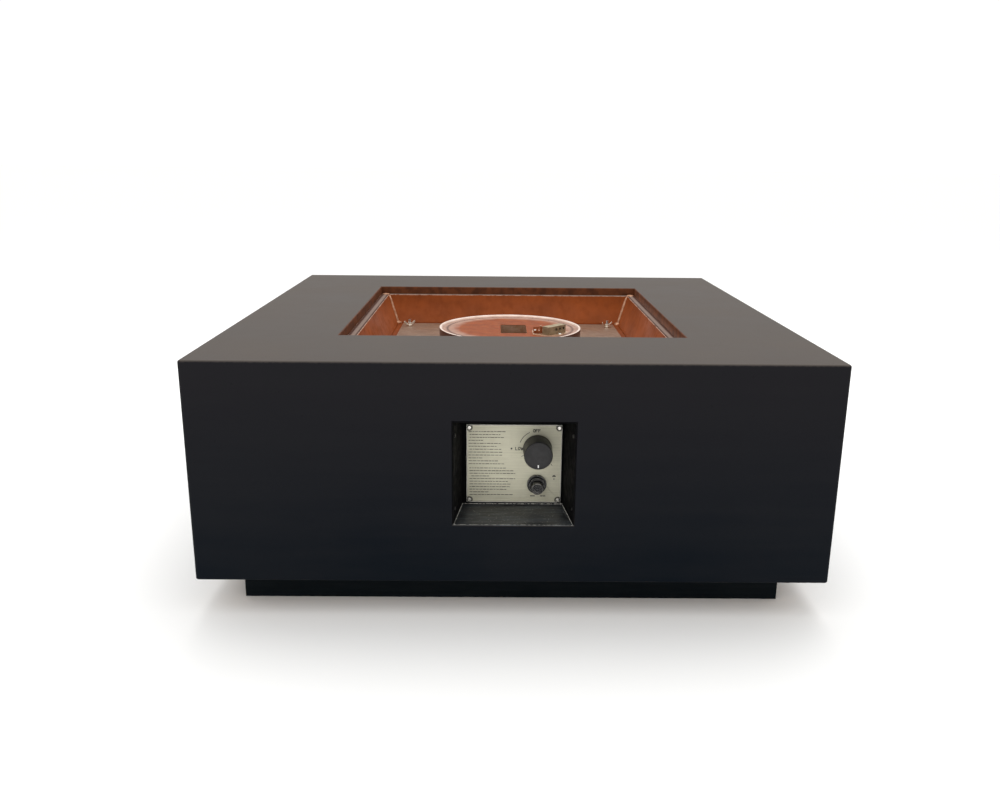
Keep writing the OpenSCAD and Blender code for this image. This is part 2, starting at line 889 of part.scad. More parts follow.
// Valve
module valve_body() {
    color([0.76, 0.62, 0.34])
    on_panel(control_x, knob_z)
        difference() {
            union() {
                block([0, 0], [2 * valve_half, 2 * valve_half], valve_end, -sheet);
                translate([0, 0, -sheet]) cylinder(r = bushing_r, h = bushing_top + sheet);
                translate([0, inlet_rise, boss_depth])
                    rotate([0, 90, 0]) cylinder(r = boss_r, h = boss_reach);
                translate([0, outlet_rise, boss_depth])
                    rotate([0, -90, 0]) cylinder(r = boss_r, h = boss_reach);
            }
            translate([0, 0, chamber_front - eps])
                cylinder(r = stem_r + fit, h = bushing_top - chamber_front + 2 * eps);
            translate([0, 0, chamber_back])
                cylinder(r = chamber_r, h = chamber_front - chamber_back);
            translate([0, 0, valve_end - eps]) cylinder(r = 3.5, h = 10);
            translate([5, inlet_rise, boss_depth]) rotate([0, 90, 0]) cylinder(r = 3.5, h = boss_reach);
            translate([-5, outlet_rise, boss_depth])
                rotate([0, -90, 0]) cylinder(r = 3.5, h = boss_reach);
        }
}

module valve_nut() {
    color("silver")
    on_panel(control_x, knob_z) nut(19, 5, bushing_r + fit);
}

module valve_stem() {
    color("silver")
    on_panel(control_x, knob_z)
        difference() {
            union() {
                translate([0, 0, plunger_front]) cylinder(r = stem_r, h = stem_end - plunger_front);
                translate([0, 0, chamber_front - 3]) cylinder(r = 7, h = 3);
            }
            block([0, stem_r + 1.6], [10, 5], stem_end - 14, stem_end + 1);
        }
}

module valve_plunger() {
    color([0.7, 0.6, 0.4])
    on_panel(control_x, knob_z) {
        translate([0, 0, plunger_back]) cylinder(r = chamber_r - fit, h = plunger_front - plunger_back);
        translate([0, 0, plunger_back - 11]) cylinder(r = 2, h = 11);
    }
}

module valve_spring() {
    wire = 0.6;
    color("silver")
    on_panel(control_x, knob_z) coil(7, wire, chamber_back + 0.8, plunger_back - 0.8, 5);
}

module control_knob() {
    r = knob_d / 2;
    h = knob_reach;
    color([0.09, 0.09, 0.1])
    on_panel(control_x, knob_z)
        difference() {
            rotate_extrude($fn = 96)
                polygon(concat(
                    [[0, knob_back], [r, knob_back], [r, knob_back + 2], [r - 0.4, knob_back + 3]],
                    [for (a = [0:15:90]) [r - 2.8 + 2 * cos(a), h - 2 + 2 * sin(a)]],
                    [[r - 4.6, h], [r - 5.2, h - 0.5], [0, h - 0.5]]
                ));
            translate([0, 0, knob_back - eps])
                difference() {
                    cylinder(r = r - 4, h = h - 6 - knob_back);
                    translate([0, 0, 6.7]) cylinder(r = 8, h = h);
                }
            translate([0, 0, 9]) cylinder(r = stem_r + fit, h = stem_end + 0.5 - 9);
            block([0, -18.5], [2, 5.2], h - 1.3, h + eps);
        }
}

module knob_index() {
    color("white")
    on_panel(control_x, knob_z) block([0, -18.5], [1.8, 5], knob_reach - 1.3, knob_reach - 0.2);
}

module flame_failure_unit() {
    color([0.78, 0.6, 0.3])
    on_panel(control_x, knob_z) {
        translate([0, 0, valve_end - 16]) cylinder(r = 9, h = 16);
        translate([0, 0, unit_end]) cylinder(r = 4.5, h = valve_end - 16 - unit_end);
    }
}

// Igniter
module igniter_housing() {
    r = bezel_d / 2;
    color([0.08, 0.08, 0.09])
    on_panel(control_x, igniter_z)
        difference() {
            union() {
                rotate_extrude()
                    polygon([
                        [0, 0], [r, 0], [r, 4.5], [r - 1, 5.5], [r - 2.8, 5.5], [r - 3.2, 10.6],
                        [r - 4, 11.4], [0, 11.4]
                    ]);
                translate([0, 0, housing_end]) cylinder(r = housing_r, h = -housing_end);
                translate([0, 0, terminal_end]) cylinder(r = 3, h = housing_end - terminal_end);
            }
            translate([0, 0, button_stop - eps]) cylinder(r = button_r + fit, h = 20);
            translate([0, 0, battery_end]) cylinder(r = housing_r - 1, h = button_stop - battery_end);
        }
}

module igniter_nut() {
    color("silver")
    on_panel(control_x, igniter_z) translate([0, 0, -sheet - 6]) nut(30, 6, housing_r + fit);
}

module igniter_button() {
    color([0.06, 0.06, 0.07])
    on_panel(control_x, igniter_z)
        rotate_extrude()
            polygon([
                [0, collar_end], [housing_r - 1.4, collar_end], [housing_r - 1.4, button_stop],
                [button_r, button_stop], [button_r, button_reach - 1.5],
                [button_r - 1.5, button_reach], [0, button_reach]
            ]);
}

module igniter_spring() {
    color("silver")
    on_panel(control_x, igniter_z) coil(6, 0.5, battery_front + 0.7, collar_end - 0.7, 5);
}

module igniter_battery() {
    color([0.3, 0.3, 0.32])
    on_panel(control_x, igniter_z)
        translate([0, 0, battery_end]) cylinder(r = battery_r, h = battery_front - battery_end);
}

// Gas inlet
module gas_inlet_fitting() {
    color([0.8, 0.65, 0.3])
    translate([0, inlet_bracket_y, inlet_z])
        rotate([-90, 0, 0])
            difference() {
                union() {
                    cylinder(r = 12.7, h = 8, $fn = 6);
                    translate([0, 0, 8]) cylinder(r = thread_r, h = 16);
                    translate([0, 0, -inlet_reach]) cylinder(r = thread_r, h = inlet_reach);
                }
                translate([0, 0, -inlet_reach - eps]) cylinder(r = 4, h = inlet_reach + 24 + 2 * eps);
            }
}

module inlet_locknut() {
    color("silver")
    translate([0, inlet_bracket_y - 2, inlet_z]) rotate([90, 0, 0]) nut(22, 5, thread_r + fit);
}

module at_bracket_screws() {
    for (x = [-16, 16])
        translate([x, inlet_bracket_y - 28, plinth_h + rail_t]) children();
}

module inlet_bracket() {
    foot_z = plinth_h + rail_t;
    color([0.45, 0.45, 0.45])
    difference() {
        union() {
            block([0, inlet_bracket_y - 1], [50, 2], foot_z, inlet_z + 25);
            block([0, inlet_bracket_y - 21], [50, 42], foot_z, foot_z + 2);
        }
        translate([0, inlet_bracket_y - 2 - eps, inlet_z])
            rotate([-90, 0, 0]) cylinder(r = thread_r + hole_gap, h = 2 + 2 * eps);
        at_bracket_screws() translate([0, 0, -eps]) cylinder(r = 2 + hole_gap, h = 3);
    }
}

module bracket_screws() {
    color("silver")
    at_bracket_screws() translate([0, 0, 2]) pan_screw(4, 2.6, 2, 16);
}

module hose_grommet() {
    color([0.1, 0.1, 0.1])
    translate([0, half_in, inlet_z])
        rotate([-90, 0, 0])
            difference() {
                union() {
                    translate([0, 0, -2.5]) cylinder(r = grommet_flange_r, h = 2.5);
                    cylinder(r = grommet_r - fit, h = wall_t - 0.5);
                    translate([0, 0, wall_t - 3]) cylinder(r = grommet_flange_r, h = 2.5);
                }
                translate([0, 0, -3]) cylinder(r = grommet_bore_r, h = wall_t + 4);
            }
}

// Tubes and leads
module inlet_hose() {
    color([0.13, 0.13, 0.13]) tube_along(smooth(inlet_route), 6.5, [0, 0, 1], 10);
}

module feed_tube() {
    color([0.75, 0.75, 0.72]) tube_along(smooth(feed_route), 5.5, [0, 0, 1], 10);
}

module ignition_lead() {
    color([0.75, 0.2, 0.12]) tube_along(smooth(ignition_route), 1.6, [1, 0, 0]);
}

module thermocouple_lead() {
    color([0.72, 0.45, 0.3]) tube_along(smooth(thermocouple_route), 1.4, [1, 0, 0]);
}

body_shell();
plinth_front();
plinth_back();
plinth_left();
plinth_right();
base_rail_front();
base_rail_back();
base_rail_left();
base_rail_right();
corner_cleats();
rail_screws();
plinth_screws();
fire_bowl();
deck_plate();
deck_studs();
wing_nuts();
heat_shield();
shield_posts();
shield_nuts();
burner_top();
burner_base();
burner_legs();
burner_bolts();
burner_nuts();
mixer_tube();
air_shutter();
orifice_fitting();
ignition_bracket();
ignition_screws();
igniter_shield();
sensor_guard();
electrode_insulator();
electrode_rod();
thermocouple_probe();
recess_liner();
liner_screws();
control_panel();
panel_screws();
valve_body();
valve_nut();
valve_plunger();
valve_spring();
valve_stem();
control_knob();
knob_index();
flame_failure_unit();
igniter_housing();
igniter_nut();
igniter_button();
igniter_spring();
igniter_battery();
gas_inlet_fitting();
inlet_locknut();
inlet_bracket();
bracket_screws();
hose_grommet();
inlet_hose();
feed_tube();
ignition_lead();
thermocouple_lead();
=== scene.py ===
"""The looks of a square gas fire pit table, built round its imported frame, in metres.

The front is -Y and up is +Z. Each CAD node either keeps its mesh and gets a material, or is
replaced by a finer mesh that rides on the same body.
"""

import json
import math
import random

import bmesh
import bpy
import numpy as np
from mathutils import Matrix, Vector, noise


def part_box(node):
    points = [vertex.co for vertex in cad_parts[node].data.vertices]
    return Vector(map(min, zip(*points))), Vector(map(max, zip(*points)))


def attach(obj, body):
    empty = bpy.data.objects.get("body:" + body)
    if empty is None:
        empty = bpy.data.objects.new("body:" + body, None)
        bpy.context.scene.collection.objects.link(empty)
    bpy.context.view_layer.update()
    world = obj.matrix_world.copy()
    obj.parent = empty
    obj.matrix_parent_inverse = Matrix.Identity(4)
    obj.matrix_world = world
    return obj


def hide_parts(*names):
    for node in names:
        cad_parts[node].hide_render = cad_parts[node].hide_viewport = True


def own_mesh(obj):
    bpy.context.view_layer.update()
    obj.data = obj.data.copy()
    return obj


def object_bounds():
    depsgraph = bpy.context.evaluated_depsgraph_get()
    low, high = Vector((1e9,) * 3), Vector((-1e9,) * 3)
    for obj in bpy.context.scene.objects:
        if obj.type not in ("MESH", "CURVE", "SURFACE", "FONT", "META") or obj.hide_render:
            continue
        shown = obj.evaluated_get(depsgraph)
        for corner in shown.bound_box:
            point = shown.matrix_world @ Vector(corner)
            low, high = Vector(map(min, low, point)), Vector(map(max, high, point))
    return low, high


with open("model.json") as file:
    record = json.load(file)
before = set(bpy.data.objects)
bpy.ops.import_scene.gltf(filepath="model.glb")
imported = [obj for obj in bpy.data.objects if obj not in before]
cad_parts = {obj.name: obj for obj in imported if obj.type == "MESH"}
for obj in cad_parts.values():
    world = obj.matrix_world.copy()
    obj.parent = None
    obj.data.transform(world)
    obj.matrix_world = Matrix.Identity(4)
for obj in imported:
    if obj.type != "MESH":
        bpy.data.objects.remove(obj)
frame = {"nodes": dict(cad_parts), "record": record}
CAD_BOX = [list(corner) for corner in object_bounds()]
MM = 0.001
RECORD = frame["record"]
SLOT_OF = {part["node"]: part["material_slot"] for part in RECORD["subparts"]}
BODY_OF = {
    node: body for body, nodes in RECORD["behaviour"]["bodies"].items() for node in nodes
}
scene = bpy.context.scene
draw = random.Random(11)


# ---------------------------------------------------------------- camera, light and floor

def make_camera():
    """The photograph's viewpoint: in front of the table, a little left of its centre and above it."""
    yaw, pitch, roll = 0.007, 0.265, 0.009
    ahead = Vector((
        math.sin(yaw) * math.cos(pitch), math.cos(yaw) * math.cos(pitch), -math.sin(pitch)
    ))
    level = Vector((math.cos(yaw), -math.sin(yaw), 0))
    upright = level.cross(ahead)
    right = math.cos(roll) * level + math.sin(roll) * upright
    up = math.cos(roll) * upright - math.sin(roll) * level
    data = bpy.data.cameras.new("camera")
    data.sensor_width = 36
    data.lens = 32.107
    data.clip_end = 200
    camera = bpy.data.objects.new("camera", data)
    camera.matrix_world = Matrix.Translation((-0.0334, -1.9039, 0.7523)) @ Matrix(
        (right, up, -ahead)
    ).transposed().to_4x4()
    scene.collection.objects.link(camera)
    scene.camera = camera


def area_light(name, place, aim, size, power, colour=(1, 1, 1)):
    data = bpy.data.lights.new(name, "AREA")
    data.shape = "RECTANGLE"
    data.size, data.size_y = size
    data.energy = power
    data.color = colour
    light = bpy.data.objects.new(name, data)
    light.location = place
    light.rotation_euler = (Vector(aim) - Vector(place)).to_track_quat("-Z", "Y").to_euler()
    scene.collection.objects.link(light)


def make_studio():
    """A pale floor, an even pale surround and soft lights."""
    world = bpy.data.worlds.new("surround")
    world.use_nodes = True
    surround = world.node_tree.nodes["Background"]
    surround.inputs["Color"].default_value = (1.0, 0.995, 0.985, 1)
    surround.inputs["Strength"].default_value = 1.04
    scene.world = world
    area_light("overhead", (0.2, 0.9, 3.4), (0, 0.1, 0.4), (3.2, 2.6), 60)
    area_light("front", (-1.6, -3.2, 1.8), (0, -0.4, 0.25), (1.6, 1.4), 9)
    half = 60.0
    mesh = bpy.data.meshes.new("floor")
    mesh.from_pydata(
        [(-half, -half, 0), (half, -half, 0), (half, half, 0), (-half, half, 0)], [], [(0, 1, 2, 3)]
    )
    floor = bpy.data.objects.new("floor", mesh)
    floor.location.z = CAD_BOX[0][2] - 0.3 * MM
    scene.collection.objects.link(floor)
    shade = Shader("pale_floor", Roughness=0.85)
    shade.set("Specular IOR Level", 0.15)
    shade.set("Base Color", shade.blend(shade.noise(0.35, 4), (0.972, 0.972, 0.968), (0.984, 0.984, 0.980)))
    mesh.materials.append(shade.material)


# ---------------------------------------------------------------- materials

class Shader:
    """A material in the making, with one short call for each kind of node. Lengths are in metres."""

    def __init__(self, name, **values):
        self.material = bpy.data.materials.new(name)
        self.material.use_nodes = True
        self.nodes = self.material.node_tree.nodes
        self.links = self.material.node_tree.links
        self.surface = self.nodes["Principled BSDF"]
        self.place = self.nodes.new("ShaderNodeTexCoord").outputs["Object"]
        for label, value in values.items():
            self.set(label, value)

    def put(self, socket, value):
        """Links value to the socket if it comes from a node, and sets it if it is a number or a colour."""
        if isinstance(value, bpy.types.NodeSocket):
            self.links.new(value, socket)
        elif isinstance(value, tuple) and len(socket.default_value) == 4:
            socket.default_value = (*value, 1)
        else:
            socket.default_value = value

    def set(self, label, value):
        self.put(self.surface.inputs[label], value)

    def scaled_place(self, size, stretch, turn):
        mapping = self.nodes.new("ShaderNodeMapping")
        self.links.new(self.place, mapping.inputs["Vector"])
        mapping.inputs["Rotation"].default_value = turn
        mapping.inputs["Scale"].default_value = [1 / (size * s) for s in stretch]
        return mapping.outputs["Vector"]

    def noise(self, size, detail=3.0, stretch=(1, 1, 1), turn=(0, 0, 0)):
        """Soft noise from about 0.3 to 0.7, in blobs about size wide, longer along an axis by its stretch."""
        texture = self.nodes.new("ShaderNodeTexNoise")
        self.links.new(self.scaled_place(size, stretch, turn), texture.inputs["Vector"])
        texture.inputs["Scale"].default_value = 1
        texture.inputs["Detail"].default_value = detail
        return texture.outputs["Fac"]

    def cells(self, size):
        """The distance to the nearest of many scattered points, as a share of size."""
        texture = self.nodes.new("ShaderNodeTexVoronoi")
        self.links.new(self.scaled_place(size, (1, 1, 1), (0, 0, 0)), texture.inputs["Vector"])
        texture.inputs["Scale"].default_value = 1
        return texture.outputs["Distance"]

    def fade(self, value, start, end, low=0.0, high=1.0):
        """Goes from low to high as value goes from start to end."""
        node = self.nodes.new("ShaderNodeMapRange")
        for label, given in (
            ("Value", value), ("From Min", start), ("From Max", end), ("To Min", low), ("To Max", high)
        ):
            self.put(node.inputs[label], given)
        return node.outputs["Result"]

    def maths(self, operation, a, b=0.0):
        node = self.nodes.new("ShaderNodeMath")
        node.operation = operation
        self.put(node.inputs[0], a)
        self.put(node.inputs[1], b)
        return node.outputs[0]

    def times(self, a, b):
        return self.maths("MULTIPLY", a, b)

    def plus(self, a, b):
        return self.maths("ADD", a, b)

    def blend(self, share, a, b):
        """Colour a where share is 0 and colour b where it is 1."""
        node = self.nodes.new("ShaderNodeMix")
        node.data_type = "RGBA"
        self.put(node.inputs["Factor"], share)
        self.put(node.inputs[6], a)
        self.put(node.inputs[7], b)
        return node.outputs[2]

    def wear_and_highlight(self):
        """The mesh's own wear layer, from 0 to 1, which marks real wear on some parts and a painted highlight on
        others.
        """
        node = self.nodes.new("ShaderNodeAttribute")
        node.attribute_name = "wear_and_highlight"
        return node.outputs["Fac"]

    def axis(self, name):
        """The place along one axis, X, Y or Z."""
        node = self.nodes.new("ShaderNodeSeparateXYZ")
        self.links.new(self.place, node.inputs[0])
        return node.outputs[name]

    def facing(self, name):
        """The part of the surface's direction along one axis, X, Y or Z, at rest."""
        geometry = self.nodes.new("ShaderNodeNewGeometry")
        node = self.nodes.new("ShaderNodeSeparateXYZ")
        self.links.new(geometry.outputs["Normal"], node.inputs[0])
        return node.outputs[name]

    def relief(self, *layers):
        """Bumps: each layer is a height from 0 to 1 and the depth that it stands for."""
        last = None
        for height, depth in layers:
            node = self.nodes.new("ShaderNodeBump")
            node.inputs["Distance"].default_value = depth
            self.links.new(height, node.inputs["Height"])
            if last is not None:
                self.links.new(last, node.inputs["Normal"])
            last = node.outputs["Normal"]
        self.links.new(last, self.surface.inputs["Normal"])


def cast_shell():
    """Smooth painted concrete: charcoal, its tops painted paler as a painted sheen, softly mottled, with fine
    grain and pinholes.
    """
    s = Shader("cast_shell")
    clouds = s.fade(s.noise(0.16, 5), 0.3, 0.7)
    streaks = s.fade(s.noise(0.05, 4, (6, 6, 0.6)), 0.35, 0.65)
    grain = s.noise(0.0011, 2)
    pits = s.fade(s.cells(0.019), 0.035, 0.06, 1, 0)
    # the sides are darker towards the bottom
    upper = s.fade(s.axis("Z"), 0.08, 0.40)
    side = s.blend(upper, (0.0, 0.0026, 0.0062), (0.0108, 0.0100, 0.0122))
    side = s.blend(s.times(clouds, 0.35), side, (0.0095, 0.0098, 0.0118))
    side = s.blend(s.times(streaks, 0.2), side, (0.0125, 0.0125, 0.0140))
    # painted sheen: faces that look up are painted several times paler than the sides, and so is the grain on
    # them
    top = s.blend(clouds, (0.066, 0.056, 0.050), (0.084, 0.071, 0.062))
    base = s.blend(s.fade(s.facing("Z"), 0.35, 0.9), side, top)
    lit_grain = s.blend(s.fade(s.facing("Z"), 0.35, 0.9), (0.0135, 0.0145, 0.0165), (0.105, 0.090, 0.080))
    base = s.blend(s.fade(grain, 0.45, 0.75, 0, 0.5), base, lit_grain)
    base = s.blend(s.times(pits, 0.6), base, (0.004, 0.004, 0.004))
    # the faces in the wear layer, the rounded edges, are painted paler: part rubbed paint, part a painted
    # highlight where the edges catch the light
    worn = s.times(s.wear_and_highlight(), s.fade(s.noise(0.006, 4), 0.42, 0.62))
    base = s.blend(s.times(worn, 0.6), base, (0.085, 0.072, 0.064))
    # painted flame glow: the walls of the opening are painted orange-brown as if lit by the fire, mottled darker
    # in patches
    off_centre = s.maths("MAXIMUM", s.maths("ABSOLUTE", s.axis("X")), s.maths("ABSOLUTE", s.axis("Y")))
    painted_glow_on_walls = s.times(s.fade(off_centre, 0.3155, 0.3175, 1, 0), s.fade(s.axis("Z"), 0.40, 0.41))
    glow_mottle = s.fade(s.noise(0.02, 4), 0.4, 0.65)
    base = s.blend(painted_glow_on_walls, base, s.blend(glow_mottle, (0.135, 0.044, 0.018), (0.075, 0.027, 0.013)))
    s.set("Base Color", base)
    s.set("Roughness", s.plus(s.fade(clouds, 0, 1, 0.47, 0.56), s.fade(grain, 0.4, 0.7, 0, 0.06)))
    s.set("Specular IOR Level", 0.055)
    s.relief(
        (s.noise(0.07, 3), 0.45 * MM), (s.noise(0.007, 3), 0.06 * MM), (grain, 0.03 * MM), (pits, -0.15 * MM)
    )
    return s.material


def plinth_board():
    """Black-painted board: thin paint over a faint grain, rubbed along its edges."""
    s = Shader("plinth_board")
    grain = s.noise(0.004, 4, (14, 14, 1))
    dust = s.fade(s.noise(0.05, 5), 0.4, 0.7)
    worn = s.times(s.wear_and_highlight(), s.fade(s.noise(0.008, 4), 0.45, 0.6))
    base = s.blend(s.fade(grain, 0.35, 0.65), (0.0012, 0.0030, 0.0045), (0.0028, 0.0050, 0.0066))
    base = s.blend(s.times(dust, 0.2), base, (0.009, 0.011, 0.012))
    s.set("Base Color", s.blend(s.times(worn, 0.7), base, (0.12, 0.10, 0.08)))
    s.set("Roughness", s.fade(dust, 0, 1, 0.5, 0.66))
    s.set("Specular IOR Level", 0.06)
    s.relief((grain, 0.12 * MM), (s.noise(0.03, 2), 0.2 * MM))
    return s.material


def plain_wood(name, pale, dark, along):
    """Planed softwood with its grain along the axis that is stretched."""
    s = Shader(name)
    rings = s.noise(0.012, 5, along)
    fibres = s.noise(0.0016, 3, along)
    base = s.blend(s.fade(rings, 0.36, 0.64), pale, dark)
    base = s.blend(s.fade(fibres, 0.4, 0.7, 0, 0.5), base, tuple(0.6 * c for c in dark))
    s.set("Base Color", base)
    s.set("Roughness", s.fade(rings, 0.3, 0.7, 0.62, 0.8))
    s.relief((fibres, 0.12 * MM), (rings, 0.1 * MM))
    return s.material


def metal(name, colour, dull, rough, brush=(1, 1, 1), stain=None, stained=0.5, fine=0.0012):
    """Bare metal: brush marks along the stretched axis, cloudy patches and, where given, a stain."""
    s = Shader(name, Metallic=1.0)
    marks = s.noise(fine, 3, brush)
    clouds = s.fade(s.noise(0.03, 5), 0.35, 0.65)
    base = s.blend(clouds, colour, dull)
    base = s.blend(s.fade(marks, 0.4, 0.65, 0, 0.35), base, tuple(0.72 * c for c in dull))
    if stain:
        base = s.blend(s.times(s.fade(s.noise(0.011, 6), 0.42, 0.6), stained), base, stain)
    s.set("Base Color", base)
    s.set("Roughness", s.plus(s.fade(clouds, 0, 1, rough, rough + 0.1), s.fade(marks, 0.35, 0.65, 0, 0.1)))
    s.relief((marks, 0.02 * MM), (s.noise(0.02, 2), 0.05 * MM))
    return s.material


def panel_steel():
    """Brushed stainless sheet: long level brush marks, a soft olive-grey bloom and a painted highlight on its
    edges.
    """
    s = Shader("panel_steel")
    marks = s.noise(0.0007, 3, (90, 1, 1))
    bloom = s.fade(s.noise(0.045, 4), 0.35, 0.65)
    smears = s.fade(s.noise(0.014, 5), 0.5, 0.66)
    base = s.blend(bloom, (0.66, 0.635, 0.495), (0.74, 0.715, 0.56))
    base = s.blend(s.fade(marks, 0.35, 0.68, 0, 0.45), base, (0.50, 0.48, 0.37))
    base = s.blend(s.times(smears, 0.25), base, (0.54, 0.50, 0.38))
    # painted shadow: a dark ring round each of the four screws
    low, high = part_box("control_panel")
    away = []
    for axis, at, half in (
        ("X", (low.x + high.x) / 2, (high.x - low.x) / 2), ("Z", (low.z + high.z) / 2, (high.z - low.z) / 2)
    ):
        off = s.maths("SUBTRACT", s.maths("ABSOLUTE", s.maths("SUBTRACT", s.axis(axis), at)), half - 5 * MM)
        away.append(s.times(off, off))
    far = s.maths("SQRT", s.plus(*away))
    painted_screw_shadow = s.fade(far, 5.4 * MM, 6.8 * MM, 1, 0)
    base = s.blend(s.times(painted_screw_shadow, 0.92), base, (0.02, 0.018, 0.015))
    # painted highlight: the rounded outline is painted near white and less metallic
    edge = s.wear_and_highlight()
    s.set("Base Color", s.blend(edge, base, (0.92, 0.90, 0.82)))
    s.set("Metallic", s.fade(edge, 0, 1, 0.4, 0.15))
    s.set("Roughness", s.plus(s.fade(bloom, 0, 1, 0.47, 0.54), s.fade(marks, 0.4, 0.6, 0, 0.08)))
    s.relief((marks, 0.02 * MM), (s.noise(0.03, 2), 0.08 * MM))
    return s.material


def liner_paint():
    """Black enamel in the recess: scuffed on the floor, and chipped to bright metal on its edges."""
    s = Shader("liner_paint")
    floor_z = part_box("recess_liner")[0].z + 1.5 * MM
    on_floor = s.fade(s.axis("Z"), floor_z + 0.4 * MM, floor_z + 1.2 * MM, 1, 0)
    scuffs = s.fade(s.noise(0.012, 6, (5.0, 1, 1)), 0.42, 0.62)
    streaks = s.fade(s.noise(0.004, 5, (9, 1, 1)), 0.46, 0.66)
    specks = s.fade(s.noise(0.0022, 2), 0.66, 0.72)
    base = s.blend(s.fade(s.noise(0.03, 4), 0.35, 0.65), (0.003, 0.003, 0.0035), (0.006, 0.006, 0.0065))
    base = s.blend(s.times(on_floor, s.plus(s.times(scuffs, 0.6), 0.2)), base, (0.055, 0.058, 0.060))
    base = s.blend(s.times(on_floor, s.times(streaks, 0.55)), base, (0.085, 0.100, 0.115))
    base = s.blend(s.times(on_floor, specks), base, (0.34, 0.34, 0.33))
    chipped = s.times(s.wear_and_highlight(), s.fade(s.noise(0.0045, 5), 0.40, 0.56))
    s.set("Base Color", s.blend(chipped, base, (0.62, 0.60, 0.55)))
    s.set("Roughness", s.plus(s.fade(scuffs, 0, 1, 0.62, 0.80), s.times(on_floor, -0.28)))
    s.set("Specular IOR Level", s.plus(s.times(on_floor, 0.26), 0.03))
    s.relief((s.noise(0.025, 3), 0.3 * MM), (streaks, 0.03 * MM), (chipped, -0.12 * MM))
    return s.material


def bowl_enamel():
    """Heatproof paint on steel: bronze-brown with the fire's orange glow painted in, mottled by heat, lighter and
    greyer on the level ledge.
    """
    s = Shader("bowl_enamel")
    clouds = s.fade(s.noise(0.07, 5), 0.33, 0.67)
    blots = s.fade(s.noise(0.018, 5), 0.48, 0.66)
    grain = s.noise(0.0014, 3)
    drips = s.fade(s.noise(0.010, 4, (1, 1, 7)), 0.45, 0.7)
    # painted flame glow: these orange-browns are partly bronze paint and partly the glow of the fire
    base = s.blend(clouds, (0.160, 0.035, 0.007), (0.215, 0.046, 0.008))
    base = s.blend(s.times(blots, 0.22), base, (0.090, 0.022, 0.007))
    base = s.blend(s.times(drips, 0.12), base, (0.30, 0.075, 0.020))
    level = s.fade(s.facing("Z"), 0.9, 0.98)
    ledge = s.times(level, s.fade(s.axis("Z"), 0.400, 0.410))
    # the middle of the ledge is worn to grey, and both its edges are darker
    off_centre = s.maths("MAXIMUM", s.maths("ABSOLUTE", s.axis("X")), s.maths("ABSOLUTE", s.axis("Y")))
    paled = s.times(s.fade(off_centre, 0.2985, 0.3005), s.fade(off_centre, 0.3065, 0.3085, 1, 0))
    base = s.blend(s.times(ledge, 0.9), base, s.blend(paled, (0.055, 0.026, 0.018), (0.205, 0.155, 0.130)))
    # the worn top edges of the flange are painted pale: part chipped paint, part a painted highlight along the
    # lip
    worn = s.times(s.wear_and_highlight(), s.fade(s.noise(0.007, 5), 0.36, 0.56))
    s.set("Base Color", s.blend(s.times(worn, 0.85), base, (0.52, 0.36, 0.27)))
    s.set("Specular IOR Level", 0.05)
    s.set("Roughness", s.plus(s.fade(blots, 0, 1, 0.50, 0.62), s.fade(grain, 0.4, 0.7, 0, 0.08)))
    s.relief((s.noise(0.05, 3), 0.5 * MM), (grain, 0.05 * MM), (blots, 0.06 * MM))
    return s.material


def weld_bead():
    """Weld seams, pale and blotched: the paint covers them thinly, and their pale colour is also a painted
    highlight along the bowl's corners.
    """
    s = Shader("weld_bead", Metallic=0.35)
    blots = s.fade(s.noise(0.006, 4), 0.4, 0.62)
    s.set("Base Color", s.blend(blots, (0.50, 0.27, 0.16), (0.36, 0.17, 0.09)))
    s.set("Roughness", s.fade(blots, 0, 1, 0.4, 0.6))
    s.relief((s.noise(0.0025, 3), 0.3 * MM))
    return s.material


def deck_steel():
    """Warm grey steel plate, scratched every way and darker towards the middle, under the burner."""
    s = Shader("deck_steel")
    clouds = s.fade(s.noise(0.045, 6), 0.36, 0.64)
    scratches = [
        s.fade(s.noise(0.0009, 2, (50, 1.2, 1), (0, 0, turn)), 0.60, 0.68) for turn in (0.5, 1.35, 2.6)
    ]
    scratched = s.maths("MAXIMUM", s.maths("MAXIMUM", scratches[0], scratches[1]), scratches[2])
    base = s.blend(clouds, (0.26, 0.150, 0.092), (0.17, 0.092, 0.055))
    base = s.blend(s.times(s.fade(s.noise(0.012, 5), 0.5, 0.64), 0.5), base, (0.15, 0.085, 0.06))
    base = s.blend(s.times(scratched, 0.55), base, (0.60, 0.45, 0.34))
    x, y = s.axis("X"), s.axis("Y")
    darker_under_burner = s.fade(s.maths("SQRT", s.plus(s.times(x, x), s.times(y, y))), 0.105, 0.140, 0.95, 0)
    s.set("Base Color", s.blend(darker_under_burner, base, (0.070, 0.014, 0.006)))
    s.set("Metallic", 0.55)
    s.set("Roughness", s.fade(clouds, 0, 1, 0.36, 0.55))
    s.relief((scratched, -0.04 * MM), (s.noise(0.04, 3), 0.35 * MM))
    return s.material


